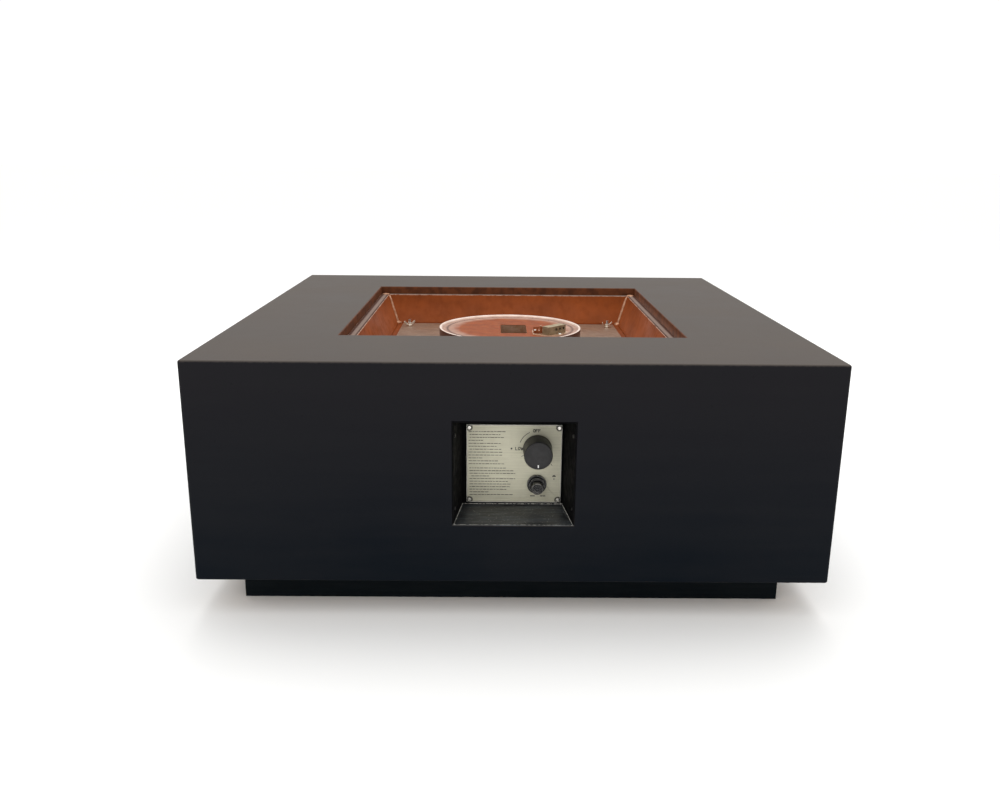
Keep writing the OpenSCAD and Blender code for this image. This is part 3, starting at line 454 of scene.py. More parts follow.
def burner_plate():
    """Stainless sheet coloured by heat: pale on the rim, bronze round the ports and orange further in, with the
    flames' glow painted into the orange and painted shade on its sides.
    """
    s = Shader("burner_plate")
    x, y = s.axis("X"), s.axis("Y")
    radius = s.maths("SQRT", s.plus(s.times(x, x), s.times(y, y)))
    wander = s.plus(radius, s.fade(s.noise(0.03, 4), 0.3, 0.7, -5 * MM, 5 * MM))
    clouds = s.fade(s.noise(0.022, 5), 0.36, 0.64)
    marks = s.noise(0.0012, 3, (8, 8, 1))
    # painted flame glow: the orange further in is heat tint with the glow of the flames painted in
    inner = s.blend(clouds, (0.27, 0.058, 0.011), (0.20, 0.040, 0.008))
    bronze = s.blend(clouds, (0.42, 0.24, 0.17), (0.32, 0.17, 0.12))
    base = s.blend(s.fade(wander, 0.108, 0.126), inner, bronze)
    base = s.blend(s.fade(marks, 0.45, 0.7, 0, 0.3), base, (0.30, 0.15, 0.08))
    ports = s.times(s.fade(radius, 0.1305, 0.1330), s.fade(radius, 0.1370, 0.1395, 1, 0))
    base = s.blend(s.times(ports, 0.6), base, (0.11, 0.055, 0.04))
    rim = s.fade(radius, 0.1455, 0.1470)
    base = s.blend(rim, base, s.blend(clouds, (0.86, 0.72, 0.64), (0.74, 0.58, 0.49)))
    # painted shade: the burner's outer sides, which don't face up, are painted dark
    painted_shade_on_sides = s.times(s.fade(s.facing("Z"), 0.1, 0.5, 1, 0), s.fade(radius, 0.150, 0.1515))
    s.set("Base Color", s.blend(s.times(painted_shade_on_sides, 0.85), base, (0.085, 0.040, 0.027)))
    # the heat-tinted middle is oxidised and dull, the rim is still bare metal
    s.set("Metallic", s.fade(wander, 0.112, 0.150, 0.15, 0.85))
    s.set("Specular IOR Level", s.fade(wander, 0.112, 0.150, 0.12, 0.5))
    s.set("Roughness", s.plus(s.fade(wander, 0.112, 0.150, 0.58, 0.36), s.fade(marks, 0.35, 0.65, 0, 0.08)))
    s.relief((marks, 0.02 * MM), (s.noise(0.02, 2), 0.06 * MM))
    return s.material


def plastic(name, colour, rough, grain=0.0006, depth=0.02, gloss=0.5, dust=0.25):
    """Moulded plastic: a fine sparked surface, faint flow marks and a little dust."""
    s = Shader(name)
    film = s.fade(s.noise(0.012, 5), 0.45, 0.68)
    texture = s.noise(grain, 2)
    dusty = tuple(0.10 + 0.7 * c for c in colour)
    base = s.blend(s.fade(s.noise(0.02, 3), 0.35, 0.65), colour, tuple(1.35 * c for c in colour))
    s.set("Base Color", s.blend(s.times(film, dust), base, dusty))
    s.set("Roughness", s.fade(film, 0, 1, rough, rough + 0.14))
    s.set("Specular IOR Level", gloss)
    s.relief((texture, depth * MM))
    return s.material


def highlit_edge_plastic(name, colour, pale, rough):
    """Glossy black plastic whose turned edges are painted pale in patches, as painted highlights."""
    s = Shader(name, **{"Specular IOR Level": 0.6})
    film = s.fade(s.noise(0.012, 5), 0.45, 0.68)
    # painted highlight: the edges of the rings are painted pale
    paled = s.times(s.wear_and_highlight(), s.fade(s.noise(0.006, 4), 0.38, 0.6))
    base = s.blend(s.times(film, 0.04), colour, tuple(0.1 + c for c in colour))
    s.set("Base Color", s.blend(s.times(paled, 0.8), base, pale))
    s.set("Roughness", s.plus(s.fade(film, 0, 1, rough, rough + 0.12), s.times(paled, 0.15)))
    s.relief((s.noise(0.0008, 2), 0.015 * MM))
    return s.material


def painted_print(name, colour):
    """Screen-printed ink, slightly uneven."""
    s = Shader(name, Roughness=0.6)
    pale = tuple(1.5 * c + 0.02 for c in colour)
    s.set("Base Color", s.blend(s.fade(s.noise(0.0012, 3), 0.45, 0.7), colour, pale))
    s.relief((s.noise(0.0006, 2), 0.01 * MM))
    return s.material


MATERIALS = {
    "cast_shell": cast_shell(),
    "plinth_board": plinth_board(),
    "wood_across": plain_wood("wood_across", (0.50, 0.33, 0.18), (0.36, 0.21, 0.10), (14, 1, 1)),
    "wood_along": plain_wood("wood_along", (0.50, 0.33, 0.18), (0.36, 0.21, 0.10), (1, 14, 1)),
    "wood_upright": plain_wood("wood_upright", (0.54, 0.37, 0.21), (0.40, 0.24, 0.12), (1, 1, 14)),
    "zinc": metal(
        "zinc", (0.63, 0.63, 0.62), (0.48, 0.49, 0.50), 0.3, stain=(0.35, 0.33, 0.25), stained=0.3
    ),
    "bright_steel": metal("bright_steel", (0.86, 0.84, 0.78), (0.74, 0.72, 0.66), 0.16),
    "heat_shield": metal("heat_shield", (0.62, 0.62, 0.61), (0.5, 0.5, 0.5), 0.34, (40, 1, 1)),
    "burner_steel": metal(
        "burner_steel", (0.72, 0.52, 0.37), (0.56, 0.38, 0.26), 0.32, (8, 8, 1), (0.42, 0.19, 0.09), 0.5
    ),
    "burner_plate": burner_plate(),
    "bright_zinc": metal(
        "bright_zinc", (0.93, 0.88, 0.78), (0.80, 0.73, 0.62), 0.3, stain=(0.50, 0.36, 0.22), stained=0.25
    ),
    "tan_steel": metal(
        "tan_steel", (0.44, 0.37, 0.25), (0.32, 0.26, 0.17), 0.5, (12, 1, 1), (0.17, 0.12, 0.07), 0.4
    ),
    "rusty_steel": metal(
        "rusty_steel", (0.50, 0.19, 0.09), (0.36, 0.12, 0.05), 0.55, (1, 1, 1), (0.20, 0.055, 0.02), 0.8
    ),
    "brass": metal(
        "brass", (0.78, 0.58, 0.26), (0.62, 0.44, 0.18), 0.26, stain=(0.35, 0.22, 0.08), stained=0.3
    ),
    "copper": metal(
        "copper", (0.78, 0.42, 0.27), (0.58, 0.28, 0.16), 0.3, stain=(0.28, 0.12, 0.06), stained=0.4
    ),
    "dark_zinc": metal(
        "dark_zinc", (0.05, 0.05, 0.052), (0.03, 0.03, 0.032), 0.35, stain=(0.12, 0.11, 0.10), stained=0.3
    ),
    "spring_steel": metal("spring_steel", (0.62, 0.62, 0.62), (0.46, 0.46, 0.46), 0.22),
    "tube_steel": metal("tube_steel", (0.70, 0.69, 0.66), (0.55, 0.54, 0.51), 0.26, (1, 8, 1)),
    "panel_steel": panel_steel(),
    "liner_paint": liner_paint(),
    "bowl_enamel": bowl_enamel(),
    "weld_bead": weld_bead(),
    "deck_steel": deck_steel(),
    "knob_plastic": plastic("knob_plastic", (0.0125, 0.0115, 0.012), 0.40, gloss=0.35, dust=0.12),
    "igniter_plastic": highlit_edge_plastic("igniter_plastic", (0.004, 0.004, 0.0045), (0.22, 0.21, 0.19), 0.18),
    "battery_case": plastic("battery_case", (0.045, 0.05, 0.06), 0.25),
    "rubber": plastic("rubber", (0.018, 0.018, 0.019), 0.62, 0.001, 0.05, 0.3, 0.35),
    "lead_sleeve": plastic("lead_sleeve", (0.42, 0.045, 0.02), 0.55, 0.0009, 0.05, 0.35, 0.1),
    "ceramic": plastic("ceramic", (0.78, 0.75, 0.69), 0.2, 0.002, 0.02, 0.6, 0.0),
    "index_white": plastic("index_white", (0.80, 0.80, 0.77), 0.35, dust=0.0),
    "panel_ink": painted_print("panel_ink", (0.045, 0.042, 0.036)),
    "fine_ink": painted_print("fine_ink", (0.050, 0.046, 0.038)),
}

# The material of each CAD node's slot, where it doesn't have the slot's own name
SLOT_LOOKS = {
    "base_wood": "wood_upright", "zinc_steel": "zinc", "shield_steel": "heat_shield",
    "heated_steel": "tan_steel", "yellow_brass": "brass", "white_ceramic": "ceramic",
    "black_rubber": "rubber", "black_zinc": "dark_zinc",
}
NODE_LOOKS = {
    "base_rail_front": "wood_across", "base_rail_back": "wood_across",
    "base_rail_left": "wood_along", "base_rail_right": "wood_along",
    "sensor_guard": "rusty_steel", "burner_top": "burner_plate", "thermocouple_probe": "burner_steel",
}


def look_of(node):
    slot = SLOT_OF[node]
    return MATERIALS[NODE_LOOKS.get(node, SLOT_LOOKS.get(slot, slot))]


# ---------------------------------------------------------------- meshes

SMOOTH_UNDER = math.radians(38)


def piece(name, bm, node, material=None, replaces=(), weighted=True):
    """Makes a piece from bm, riding on node's body, with the given material and, if none is given, node's look.
    """
    mesh = bpy.data.meshes.new(name)
    bmesh.ops.recalc_face_normals(bm, faces=bm.faces)
    bm.to_mesh(mesh)
    bm.free()
    mesh.shade_smooth()
    mesh.set_sharp_from_angle(angle=SMOOTH_UNDER)
    mesh.materials.append(material or look_of(node))
    made = bpy.data.objects.new(name, mesh)
    scene.collection.objects.link(made)
    if weighted:
        made.modifiers.new("even_shading", "WEIGHTED_NORMAL").keep_sharp = True
    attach(made, BODY_OF[node])
    if replaces:
        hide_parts(*replaces)
    return made


def copied(node):
    """A CAD node's shape, welded and with its flat faces whole."""
    bm = bmesh.new()
    bm.from_mesh(frame["nodes"][node].data)
    bmesh.ops.remove_doubles(bm, verts=bm.verts, dist=0.01 * MM)
    bmesh.ops.dissolve_limit(bm, angle_limit=math.radians(0.5), verts=bm.verts, edges=bm.edges)
    return bm


def soften(bm, width, segments=2, wear_and_highlight=1.0, where=None, sharper=45):
    """Rounds the sharp edges that where picks by their middle, and marks the new faces in the wear layer, which
    some materials paint as wear and some as a painted highlight.
    """
    layer = bm.faces.layers.float.get("wear_and_highlight") or bm.faces.layers.float.new("wear_and_highlight")
    picked = []
    for edge in bm.edges:
        middle = (edge.verts[0].co + edge.verts[1].co) / 2
        if len(edge.link_faces) != 2 or edge.calc_face_angle(0) < math.radians(sharper):
            continue
        if where is None or where(middle):
            picked.append(edge)
    made = bmesh.ops.bevel(
        bm, geom=picked, offset=width, offset_type="OFFSET", segments=segments, profile=0.5,
        affect="EDGES", clamp_overlap=False,
    )
    for face in made["faces"]:
        face[layer] = wear_and_highlight
    return bm


def turned(profile, steps=64, worn=()):
    """A solid of revolution about Z. The profile is (radius, height) points, from the axis back to it.

    worn holds the (lowest radius, highest radius, lowest height) of rings whose faces go in the wear layer; on
    the igniter they get painted highlights."""
    bm = bmesh.new()
    layer = bm.faces.layers.float.new("wear_and_highlight")
    rings = []
    for radius, height in profile:
        if radius < 1e-7:
            rings.append([bm.verts.new((0, 0, height))])
            continue
        rings.append([
            bm.verts.new((
                radius * math.cos(math.tau * k / steps), radius * math.sin(math.tau * k / steps), height
            ))
            for k in range(steps)
        ])
    for low, high, start, end in zip(rings, rings[1:], profile, profile[1:]):
        radius, height = (start[0] + end[0]) / 2, (start[1] + end[1]) / 2
        wear_and_highlight = any(least < radius < most and height > bottom for least, most, bottom in worn)
        for k in range(steps):
            m = (k + 1) % steps
            corners = [low[k % len(low)], low[m % len(low)], high[m % len(high)], high[k % len(high)]]
            bm.faces.new(list(dict.fromkeys(corners)))[layer] = 1.0 if wear_and_highlight else 0.0
    return bm


def arc(centre, radius, start, end, steps=6):
    """Points on an arc from start to end, in degrees."""
    angles = [math.radians(start + (end - start) * i / steps) for i in range(steps + 1)]
    return [(centre[0] + radius * math.cos(a), centre[1] + radius * math.sin(a)) for a in angles]


def tube(path, radius_at, sides=16):
    """A closed tube along a path. radius_at gives the radius for a share of the path and a side's angle."""
    bm = bmesh.new()
    path = [Vector(p) for p in path]
    last = len(path) - 1
    side = Vector((0.3, 0.2, 1)).normalized()
    rings = []
    for i, at in enumerate(path):
        ahead = (path[min(i + 1, last)] - path[max(i - 1, 0)]).normalized()
        side = (side - side.dot(ahead) * ahead).normalized()
        other = ahead.cross(side)
        ring = []
        for k in range(sides):
            turn = math.tau * k / sides
            out = math.cos(turn) * side + math.sin(turn) * other
            ring.append(bm.verts.new(at + radius_at(i / last, turn) * out))
        rings.append(ring)
    for low, high in zip(rings, rings[1:]):
        for k in range(sides):
            m = (k + 1) % sides
            bm.faces.new((low[k], low[m], high[m], high[k]))
    bm.faces.new(rings[0])
    bm.faces.new(rings[-1])
    return bm


def join(parts):
    """Joins several (shape, matrix) pairs into one shape."""
    whole = bmesh.new()
    for bm, matrix in parts:
        bmesh.ops.transform(bm, matrix=matrix, verts=bm.verts)
        mesh = bpy.data.meshes.new("part")
        bm.to_mesh(mesh)
        bm.free()
        whole.from_mesh(mesh)
        bpy.data.meshes.remove(mesh)
    return whole


def copies(bm, matrices):
    """One shape with a copy of bm at each matrix."""
    made = join([(bm.copy(), matrix) for matrix in matrices])
    bm.free()
    return made


def cut(bm, *cutters):
    """bm less each of the cutters."""
    mesh = bpy.data.meshes.new("whole")
    bmesh.ops.recalc_face_normals(bm, faces=bm.faces)
    bm.to_mesh(mesh)
    bm.free()
    whole = bpy.data.objects.new("whole", mesh)
    scene.collection.objects.link(whole)
    tools = []
    for cutter in cutters:
        tool_mesh = bpy.data.meshes.new("tool")
        bmesh.ops.recalc_face_normals(cutter, faces=cutter.faces)
        cutter.to_mesh(tool_mesh)
        cutter.free()
        tool = bpy.data.objects.new("tool", tool_mesh)
        scene.collection.objects.link(tool)
        modifier = whole.modifiers.new("cut", "BOOLEAN")
        modifier.operation = "DIFFERENCE"
        modifier.solver = "EXACT"
        modifier.object = tool
        tools.append(tool)
    result = bmesh.new()
    result.from_mesh(whole.evaluated_get(bpy.context.evaluated_depsgraph_get()).to_mesh())
    for thing in (whole, *tools):
        bpy.data.objects.remove(thing)
    return result


def box_shape(low, high):
    bm = bmesh.new()
    bmesh.ops.create_cube(bm, size=1)
    low, high = Vector(low), Vector(high)
    size = high - low
    bmesh.ops.transform(
        bm, matrix=Matrix.Translation((low + high) / 2) @ Matrix.Diagonal((*size, 1)), verts=bm.verts
    )
    return bm


def solids_of(node):
    """The (lowest, highest) corners of each separate solid of a CAD node."""
    bm = copied(node)
    left, found = set(bm.verts), []
    while left:
        group, edge = set(), [left.pop()]
        while edge:
            vert = edge.pop()
            group.add(vert)
            for link in vert.link_edges:
                other = link.other_vert(vert)
                if other in left:
                    left.remove(other)
                    edge.append(other)
        co = np.array([v.co for v in group])
        found.append((Vector(co.min(0)), Vector(co.max(0))))
    bm.free()
    return sorted(found, key=lambda box: tuple(round(c, 5) for c in box[0]))


# ---------------------------------------------------------------- shell, plinth and bowl

def make_shell():
    low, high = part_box("body_shell")
    bowl_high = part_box("fire_bowl")[1]
    opening = bowl_high.x + 2 * MM
    liner_low, liner_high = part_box("recess_liner")

    def at_opening(p):
        return p.z > bowl_high.z - 1 * MM and max(abs(p.x), abs(p.y)) < opening + 1 * MM

    def at_recess(p):
        return abs(p.y - low.y) < 1 * MM and liner_low.x - 0.01 < p.x < liner_high.x + 0.01

    bm = copied("body_shell")
    soften(bm, 2.5 * MM, 3, 0.55, at_opening)
    soften(bm, 1.6 * MM, 3, 0.0, at_recess)
    layer = bm.faces.layers.float.get("wear_and_highlight")
    # the rounded outer top edges go in the wear layer too, so the shell paints them paler: part rubbed paint,
    # part a painted highlight
    for face in bm.faces:
        slanted = max(abs(c) for c in face.normal) < 0.995
        if slanted and face.calc_center_median().z > high.z - 9 * MM:
            face[layer] = max(face[layer], 0.3)
    piece("shell", bm, "body_shell", replaces=["body_shell"])


def make_plinth():
    for side in ("front", "back", "left", "right"):
        node = "plinth_" + side
        bm = copied(node)
        soften(bm, 1.2 * MM, 2, 1.0, lambda p: p.z < 1 * MM)
        piece(node + "_board", bm, node, replaces=[node])


def make_bowl():
    low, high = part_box("fire_bowl")
    bm = copied("fire_bowl")
    soften(bm, 0.7 * MM, 2, 1.0, lambda p: p.z > high.z - 0.5 * MM)
    piece("bowl", bm, "fire_bowl", replaces=["fire_bowl"])
    # the weld seams: down the four corners, along the foot of the walls, and a blob on each ledge corner
    ledge_z = high.z
    floor_z = low.z + 2 * MM
    mouth = high.x - 19.5 * MM
    foot = mouth - 23 * MM
    parts = []
    for sx in (-1, 1):
        for sy in (-1, 1):
            top = (sx * mouth, sy * mouth, ledge_z - 2 * MM)
            parts.append(bead(top, (sx * foot, sy * foot, floor_z), 3.6))
            parts.append(blob((sx * (mouth + 9 * MM), sy * (mouth + 9 * MM), ledge_z), 8.5, 2.2))
            parts.append(blob((sx * foot, sy * foot, floor_z), 9.5, 5.0))
    floor_parts = []
    for sign in (-1, 1):
        end_z = floor_z + 0.6 * MM
        floor_parts.append(bead((-foot, sign * foot, floor_z), (foot, sign * foot, end_z), 2.8))
        floor_parts.append(bead((sign * foot, -foot, floor_z), (sign * foot, foot, end_z), 2.8))
    for name, group, material in (
        ("bowl_corner_seams", parts, MATERIALS["weld_bead"]), ("bowl_floor_seams", floor_parts, None)
    ):
        seams = join([(bm, Matrix.Identity(4)) for bm in group])
        piece(name, seams, "fire_bowl", material, weighted=False)


def bead(start, end, radius):
    """A weld seam between two points, with the uneven scallops of a hand-laid bead."""
    start, end = Vector(start), Vector(end)
    steps = max(10, int((end - start).length / (2.2 * MM)))
    shift = draw.uniform(0, 50)

    def radius_at(share, turn):
        along = share * (end - start).length
        wobble = noise.noise(Vector((along * 190 + shift, math.cos(turn), math.sin(turn))))
        ripple = 0.05 * math.sin(along * math.tau / (5.5 * MM) + shift)
        closing = math.sqrt(max(0.0, 1 - (2 * abs(share - 0.5)) ** 12))
        return radius * MM * (1 + 0.14 * wobble + ripple) * max(0.25, closing)

    return tube([start.lerp(end, i / steps) for i in range(steps + 1)], radius_at, 10)


def blob(at, radius, height):
    """A low uneven drop of weld metal."""
    shift = draw.uniform(0, 50)
    bm = turned([(0, -1)] + arc((0, 0), 1, -75, 75, 8) + [(0, 1)], 18)
    for vert in bm.verts:
        swell = 1 + 0.28 * noise.noise(vert.co * 1.7 + Vector((shift, 0, 0)))
        spread = Vector((radius * vert.co.x, radius * vert.co.y, height * vert.co.z))
        vert.co = Vector(at) + MM * swell * spread
    return bm


def make_deck():
    bm = copied("deck_plate")
    soften(bm, 0.5 * MM, 1, 1.0)
    piece("deck", bm, "deck_plate", replaces=["deck_plate"])
    bm = copied("wing_nuts")
    soften(bm, 0.45 * MM, 2, 0.0)
    piece("bright_wing_nuts", bm, "wing_nuts", MATERIALS["bright_zinc"], replaces=["wing_nuts"])


# ---------------------------------------------------------------- burner

def make_burner():
    bm = copied("burner_top")
    soften(bm, 0.45 * MM, 2, 1.0, lambda p: math.hypot(p.x, p.y) > 0.14 or abs(p.x) < 0.05)
    piece("burner_plate", bm, "burner_top", replaces=["burner_top"])
    for node, width in (("ignition_bracket", 0.35), ("igniter_shield", 0.3), ("sensor_guard", 0.3)):
        bm = copied(node)
        soften(bm, width * MM, 2, 1.0)
        piece(node + "_sheet", bm, node, replaces=[node])


# ---------------------------------------------------------------- screws

def pan_head_screw(head_r, head_h, shank_r, length):
    """A pan-head screw with a cross recess, its head on z = 0, in millimetres."""
    flat = head_r * 0.45
    profile = (
        [(0, -length), (shank_r * 0.7, -length), (shank_r, -length + 1)]
        + [(shank_r, -0.001), (head_r, 0), (head_r, head_h * 0.35)]
        + arc((head_r * 0.55, head_h * 0.35), head_r * 0.45, 12, 78, 5)
        + [(flat, head_h), (0, head_h)]
    )
    profile = [(radius, min(height, head_h)) for radius, height in profile]
    screw = turned(list(dict.fromkeys(profile)), 40)
    wide, slim, deep = head_r * 0.62, head_r * 0.13, head_h * 0.6
    bars = [
        box_shape((-wide, -slim, head_h - deep), (wide, slim, head_h + 1)),
        box_shape((-slim, -wide, head_h - deep), (slim, wide, head_h + 1)),
    ]
    screw = cut(screw, *bars)
    bmesh.ops.transform(screw, matrix=Matrix.Scale(MM, 4), verts=screw.verts)
    return screw


def make_screws():
    """Finer screws in the places and sizes of the CAD's own."""
    panel_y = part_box("control_panel")[0].y
    turns = iter([0.3, 1.1, 0.75, 0.1, 0.5, 1.3, 0.9, 0.2, 0.6, 1.0])
    out_of_panel = Matrix.Rotation(math.radians(90), 4, "X")
    heads = [(a + b) / 2 for a, b in solids_of("panel_screws")]
    spots = [
        Matrix.Translation((at.x, panel_y, at.z)) @ out_of_panel @ Matrix.Rotation(next(turns), 4, "Z")
        for at in heads
    ]
    screws = copies(pan_head_screw(4, 2.6, 2, 12), spots)
    piece("panel_pan_screws", screws, "panel_screws", replaces=["panel_screws"])
    bracket_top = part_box("ignition_bracket")[1].z
    spots = [
        Matrix.Translation(((a.x + b.x) / 2, (a.y + b.y) / 2, bracket_top)) @ Matrix.Rotation(next(turns), 4, "Z")
        for a, b in solids_of("ignition_screws")
    ]
    screws = copies(pan_head_screw(3.5, 2.2, 2, 8), spots)
    piece("ignition_pan_screws", screws, "ignition_screws", replaces=["ignition_screws"])


# ---------------------------------------------------------------- recess, panel and controls

def make_recess():
    low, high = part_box("recess_liner")
    inner_floor = low.z + 1.5 * MM
    back_y = high.y - 1.5 * MM

    def at_floor(p):
        near = abs(p.z - inner_floor) < 0.3 * MM
        return near and (p.y < low.y + 1 * MM or abs(p.x) > 0.08 or p.y > back_y - 1 * MM)

    bm = copied("recess_liner")
    soften(bm, 1.0 * MM, 2, 1.0, at_floor)
    soften(bm, 0.35 * MM, 1, 0.0, lambda p: p.y < low.y + 0.5 * MM and p.z > inner_floor + 2 * MM)
    piece("liner", bm, "recess_liner", replaces=["recess_liner"])


def make_panel():
    low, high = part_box("control_panel")
    bm = copied("control_panel")
    groove_z = low.z + 6.3 * MM
    groove = box_shape(
        (low.x - 1 * MM, low.y - 1 * MM, groove_z), (high.x + 1 * MM, low.y + 0.8 * MM, groove_z + 1.4 * MM)
    )
    bm = cut(bm, groove)

    def at_outline(p):
        side = abs(p.x - (low.x + high.x) / 2) > (high.x - low.x) / 2 - 0.2 * MM
        end = min(abs(p.z - low.z), abs(p.z - high.z)) < 0.2 * MM
        return (side or end) and p.y < high.y - 0.5 * MM

    soften(bm, 1.5 * MM, 3, 1.0, at_outline, 60)
    piece("panel", bm, "control_panel", replaces=["control_panel"])


class Print:
    """Flat ink marks on the panel, in millimetres right and up from a point on its face."""

    def __init__(self, x, z):
        self.bm = bmesh.new()
        self.origin = Vector((x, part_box("control_panel")[0].y, z))

    def quad(self, corners):
        """A slab of ink as thick as a print on a flat outline, given in order."""
        front = [self.bm.verts.new(self.origin + MM * Vector((x, -0.07, z))) for x, z in corners]
        back = [self.bm.verts.new(self.origin + MM * Vector((x, -0.01, z))) for x, z in corners]
        self.bm.faces.new(front)
        self.bm.faces.new(back[::-1])
        for k in range(len(corners)):
            m = (k + 1) % len(corners)
            self.bm.faces.new((front[k], back[k], back[m], front[m]))

    def stroke(self, points, width):
        """A line with square ends through the points."""
        for (x0, z0), (x1, z1) in zip(points, points[1:]):
            length = math.hypot(x1 - x0, z1 - z0)
            ex, ez = (x1 - x0) / length * width / 2, (z1 - z0) / length * width / 2
            self.quad([
                (x0 - ex - ez, z0 - ez + ex), (x1 + ex - ez, z1 + ez + ex),
                (x1 + ex + ez, z1 + ez - ex), (x0 - ex + ez, z0 - ez - ex),
            ])

    def word(self, letters, x, z, height, width):
        """Letters from their strokes, the first one's left foot at (x, z)."""
        for letter in letters:
            for line in LETTERS[letter]:
                self.stroke([(x + height * a, z + height * b) for a, b in line], width)
            x += height * (1.12 if letter == "W" else 0.95)

    def dot(self, x, z, radius):
        self.quad(arc((x, z), radius, 0, 345, 23))


LETTERS = {
    "O": [[(0.35 + 0.33 * math.cos(t), 0.5 + 0.5 * math.sin(t)) for t in np.linspace(0, math.tau, 17)]],
    "F": [[(0, 0), (0, 1), (0.58, 1)], [(0, 0.52), (0.48, 0.52)]],
    "L": [[(0, 1), (0, 0), (0.55, 0)]],
    "W": [[(0, 1), (0.22, 0), (0.45, 0.8), (0.68, 0), (0.9, 1)]],
}


def make_print():
    knob_low, knob_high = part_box("control_knob")
    knob = (knob_low + knob_high) / 2
    marks = Print(knob.x, knob.z)
    marks.word("OFF", -7.6, 29.2, 4.8, 1.15)
    marks.word("LOW", -37.6, -3.2, 4.8, 1.15)
    marks.dot(-44.6, -0.8, 1.6)
    marks.stroke(arc((0, 0), 31.5, 116, 160, 14), 1.0)
    for angle, start, end in ((209, 27, 30.5), (-50, 37, 40.5)):
        out = (math.cos(math.radians(angle)), math.sin(math.radians(angle)))
        marks.stroke([(start * out[0], start * out[1]), (end * out[0], end * out[1])], 0.9)
    # a half disc over a dot, for the igniter, and four short bars under it
    marks.quad(arc((29.9, -52.0), 3.2, 0, 180, 12))
    marks.dot(29.9, -56, 1.1)
    for x in (-9, -5, 8.6, 13.4):
        marks.stroke([(x - 1.3, -87.5), (x + 1.3, -87.5)], 1.7)
    piece("panel_marks", marks.bm, "control_panel", MATERIALS["panel_ink"], weighted=False)
    low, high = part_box("control_panel")
    small = Print(low.x, high.z)
    for first, pitch, lines, left, right in ((-12.5, 5.3, 12, 4.5, 66), (-78.5, 4.9, 11, 6.0, 84)):
        for line in range(lines):
            z = first - pitch * line
            end = right * draw.uniform(0.8, 1.0)
            x = left + (draw.uniform(1, 4) if draw.random() < 0.3 else 0)
            if line in (3, 9):
                end *= 0.5
            while x < end:
                word = draw.uniform(1.6, 6.2)
                small.stroke([(x, z), (min(x + word, end + 1), z)], 1.05 + draw.uniform(-0.15, 0.2))
                x += word + 2.1
    piece("panel_fine_print", small.bm, "control_panel", MATERIALS["fine_ink"], weighted=False)


def make_controls():
    panel_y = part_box("control_panel")[0].y
    out_of_panel = Matrix.Rotation(math.radians(90), 4, "X")
    bm = copied("knob_index")
    soften(bm, 0.25 * MM, 2, 0.0)
    piece("knob_index_bar", bm, "knob_index", replaces=["knob_index"])
    # the knob: turned, with a fine rib round its skirt and faint turning rings on its face
    low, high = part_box("control_knob")
    axis = (low + high) / 2
    place = Matrix.Translation((axis.x, panel_y, axis.z)) @ out_of_panel @ Matrix.Scale(MM, 4)
    back, tip, radius = (panel_y - high.y) / MM, (panel_y - low.y) / MM, (high.x - low.x) / 2 / MM
    index_low, index_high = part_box("knob_index")
    profile = (
        [(0, tip - 9.5), (4, tip - 9.5), (4, 9.7), (8, 9.7), (8, tip - 6), (radius - 4, tip - 6)]
        + [(radius - 4, back), (radius - 0.5, back), (radius, back + 0.5), (radius, back + 2)]
        + [(radius - 0.5, back + 2.6), (radius - 0.4, back + 3), (radius - 0.8, tip - 2)]
        + arc((radius - 2.8, tip - 2), 2, 10, 90, 7)
        + [(radius - 4.6, tip), (radius - 5.0, tip - 0.45), (radius - 6, tip - 0.5), (0, tip - 0.5)]
    )
    knob = transformed(turned(profile, 120), place)
    gap = 0.1 * MM
    slot = box_shape(
        (index_low.x - gap, index_low.y - 1 * MM, index_low.z - gap),
        (index_high.x + gap, index_high.y, index_high.z + gap),
    )
    piece("turned_knob", cut(knob, slot), "control_knob", replaces=["control_knob"])
    # the igniter: a stepped bezel on a threaded body, and a ribbed button
    low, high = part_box("igniter_housing")
    axis = (low + high) / 2
    place = Matrix.Translation((axis.x, panel_y, axis.z)) @ out_of_panel @ Matrix.Scale(MM, 4)
    rear = -(high.y - panel_y) / MM
    thread = []
    for turn in range(28):
        z = rear + 8 + turn * 2.0
        thread += [(11.85, z), (12.4, z + 0.6), (12.4, z + 1.0), (11.85, z + 1.6)]
    profile = (
        [(0, rear), (3, rear), (3, rear + 5), (11.6, rear + 5), (11.85, rear + 5.6)]
        + thread
        + [(12.4, -1.0), (12.4, 0), (16.4, 0), (17, 0.6)]
        + arc((16.0, 4.5), 1.0, 0, 80, 5)
        + [(14.6, 5.5), (14.3, 5.2), (14.1, 5.6), (13.8, 10.3)]
        + arc((12.9, 10.5), 0.9, 10, 90, 4)
        + [(11.7, 11.4), (11.2, 10.6), (10.7, 11.2), (10.45, 10.4), (10.45, -3.9), (11.4, -3.9)]
        + [(11.4, rear + 8.5), (0, rear + 8.5)]
    )
    # the listed rings of the bezel get painted highlights on their edges
    bezel = turned(profile, 72, [(16.2, 17.1, 4.0), (13.0, 13.9, 10.0), (10.6, 11.3, 10.3)])
    piece("igniter_bezel", transformed(bezel, place), "igniter_housing", replaces=["igniter_housing"])
    tip = (panel_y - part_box("igniter_button")[0].y) / MM
    face = []
    for radius in (7.6, 5.1, 2.6):
        face += [(radius + 0.7, tip), (radius, tip - 0.8), (radius - 0.7, tip)]
    profile = (
        [(0, -7), (10.8, -7), (10.8, -4.05), (10.2, -4.05), (10.2, tip - 1.4)]
        + arc((8.9, tip - 1.3), 1.3, 10, 85, 5)
        + face
        + [(0, tip)]
    )
    # the listed rings of the button get painted highlights on their edges
    button = turned(profile, 72, [(8.9, 10.3, tip - 1.35), (7.6, 8.4, tip - 0.9), (5.1, 5.9, tip - 0.9)])
    piece("igniter_push_button", transformed(button, place), "igniter_button", replaces=["igniter_button"])


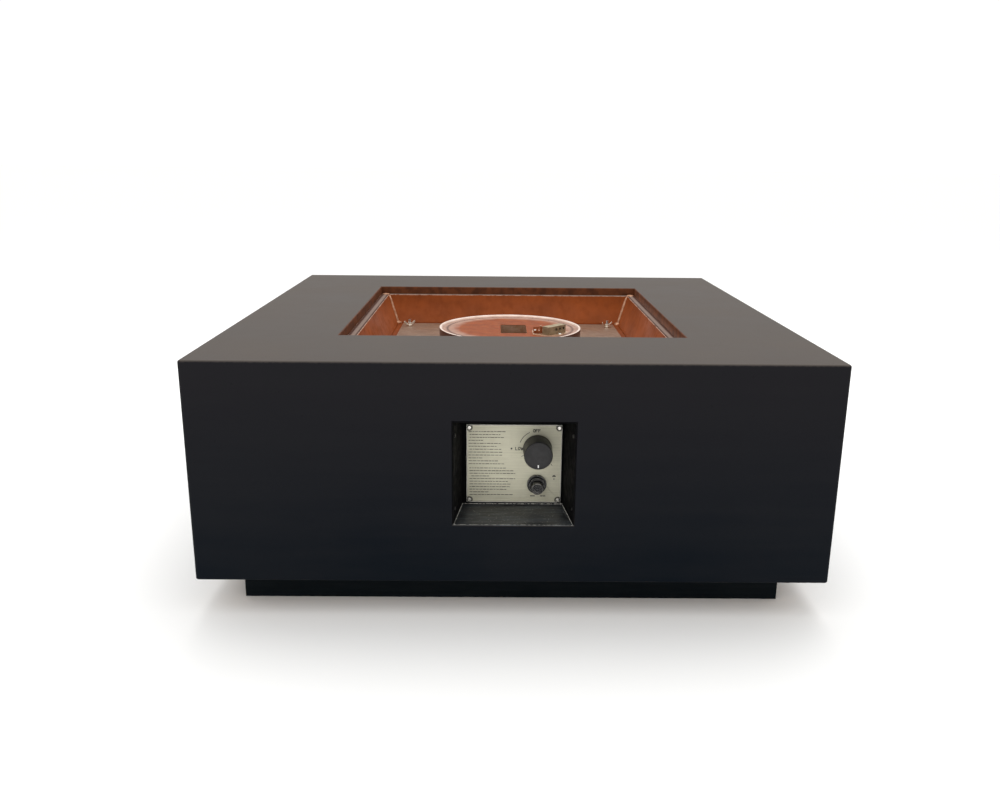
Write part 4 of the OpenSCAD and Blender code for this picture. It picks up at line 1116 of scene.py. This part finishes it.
def make_springs():
    """The two return springs, each a copy of the CAD spring with a mesh of its own."""
    for node, joint in (("valve_spring", "knob_push"), ("igniter_spring", "igniter_press")):
        spring = piece("squeezed_" + node, copied(node), node, replaces=[node])
        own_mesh(spring)


def transformed(bm, matrix):
    bmesh.ops.transform(bm, matrix=matrix, verts=bm.verts)
    return bm


# ---------------------------------------------------------------- tubes inside

def centreline(node, sides, start):
    """The middle of each ring of a CAD tube, from its end at start."""
    bm = bmesh.new()
    bm.from_mesh(frame["nodes"][node].data)
    bmesh.ops.remove_doubles(bm, verts=bm.verts, dist=0.01 * MM)
    ring = sorted(bm.verts, key=lambda v: (v.co - Vector(start)).length)[:sides]
    seen, points = set(ring), []
    while ring:
        points.append(sum((v.co for v in ring), Vector()) / len(ring))
        ring = list({e.other_vert(v) for v in ring for e in v.link_edges} - seen)
        seen.update(ring)
    bm.free()
    return points


def curve(points, step):
    """A smooth curve through the points, with a point about every step."""
    path, last = [], len(points) - 1
    for i in range(last):
        a, b, c, d = (points[min(max(i + k, 0), last)] for k in (-1, 0, 1, 2))
        count = max(1, round((c - b).length / step))
        for t in (j / count for j in range(count)):
            path.append(0.5 * (
                2 * b + (c - a) * t + (2 * a - 5 * b + 4 * c - d) * t ** 2 + (3 * b - a - 3 * c + d) * t ** 3
            ))
    return path + [points[-1]]


def make_tubes():
    """Finer hoses and leads along the CAD's own routes. The feed tube is corrugated steel."""
    valve_low, valve_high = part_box("valve_body")
    knob_low, knob_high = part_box("control_knob")
    knob = (knob_low + knob_high) / 2
    port_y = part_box("feed_tube")[0].y + 5.5 * MM
    housing_low, housing_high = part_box("igniter_housing")
    unit_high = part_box("flame_failure_unit")[1]
    for node, sides, start, radius, ripple, step in (
        ("inlet_hose", 10, (valve_high.x, port_y, knob.z - 7 * MM), 6.3, 0.0, 4.0),
        ("feed_tube", 10, (valve_low.x, port_y, knob.z + 7 * MM), 5.1, 0.34, 0.75),
        ("ignition_lead", 8, (knob.x, housing_high.y, (housing_low.z + housing_high.z) / 2), 1.55, 0.0, 3.0),
        ("thermocouple_lead", 8, (knob.x, unit_high.y, knob.z), 1.35, 0.0, 3.0),
    ):
        path = curve(centreline(node, sides, start), step * MM)
        length = sum((q - p).length for p, q in zip(path, path[1:])) / MM

        def radius_at(share, turn):
            return (radius + ripple * math.sin(math.tau * share * length / 4.2)) * MM

        piece(node + "_round", tube(path, radius_at, 18), node, replaces=[node], weighted=False)


make_camera()
make_studio()
make_shell()
make_plinth()
make_bowl()
make_deck()
make_burner()
make_screws()
make_recess()
make_panel()
make_print()
make_controls()
make_springs()
make_tubes()

for name, cad in frame["nodes"].items():
    if not cad.hide_render:
        cad.data.materials.clear()
        cad.data.materials.append(look_of(name))

scene.view_settings.view_transform = "Standard"
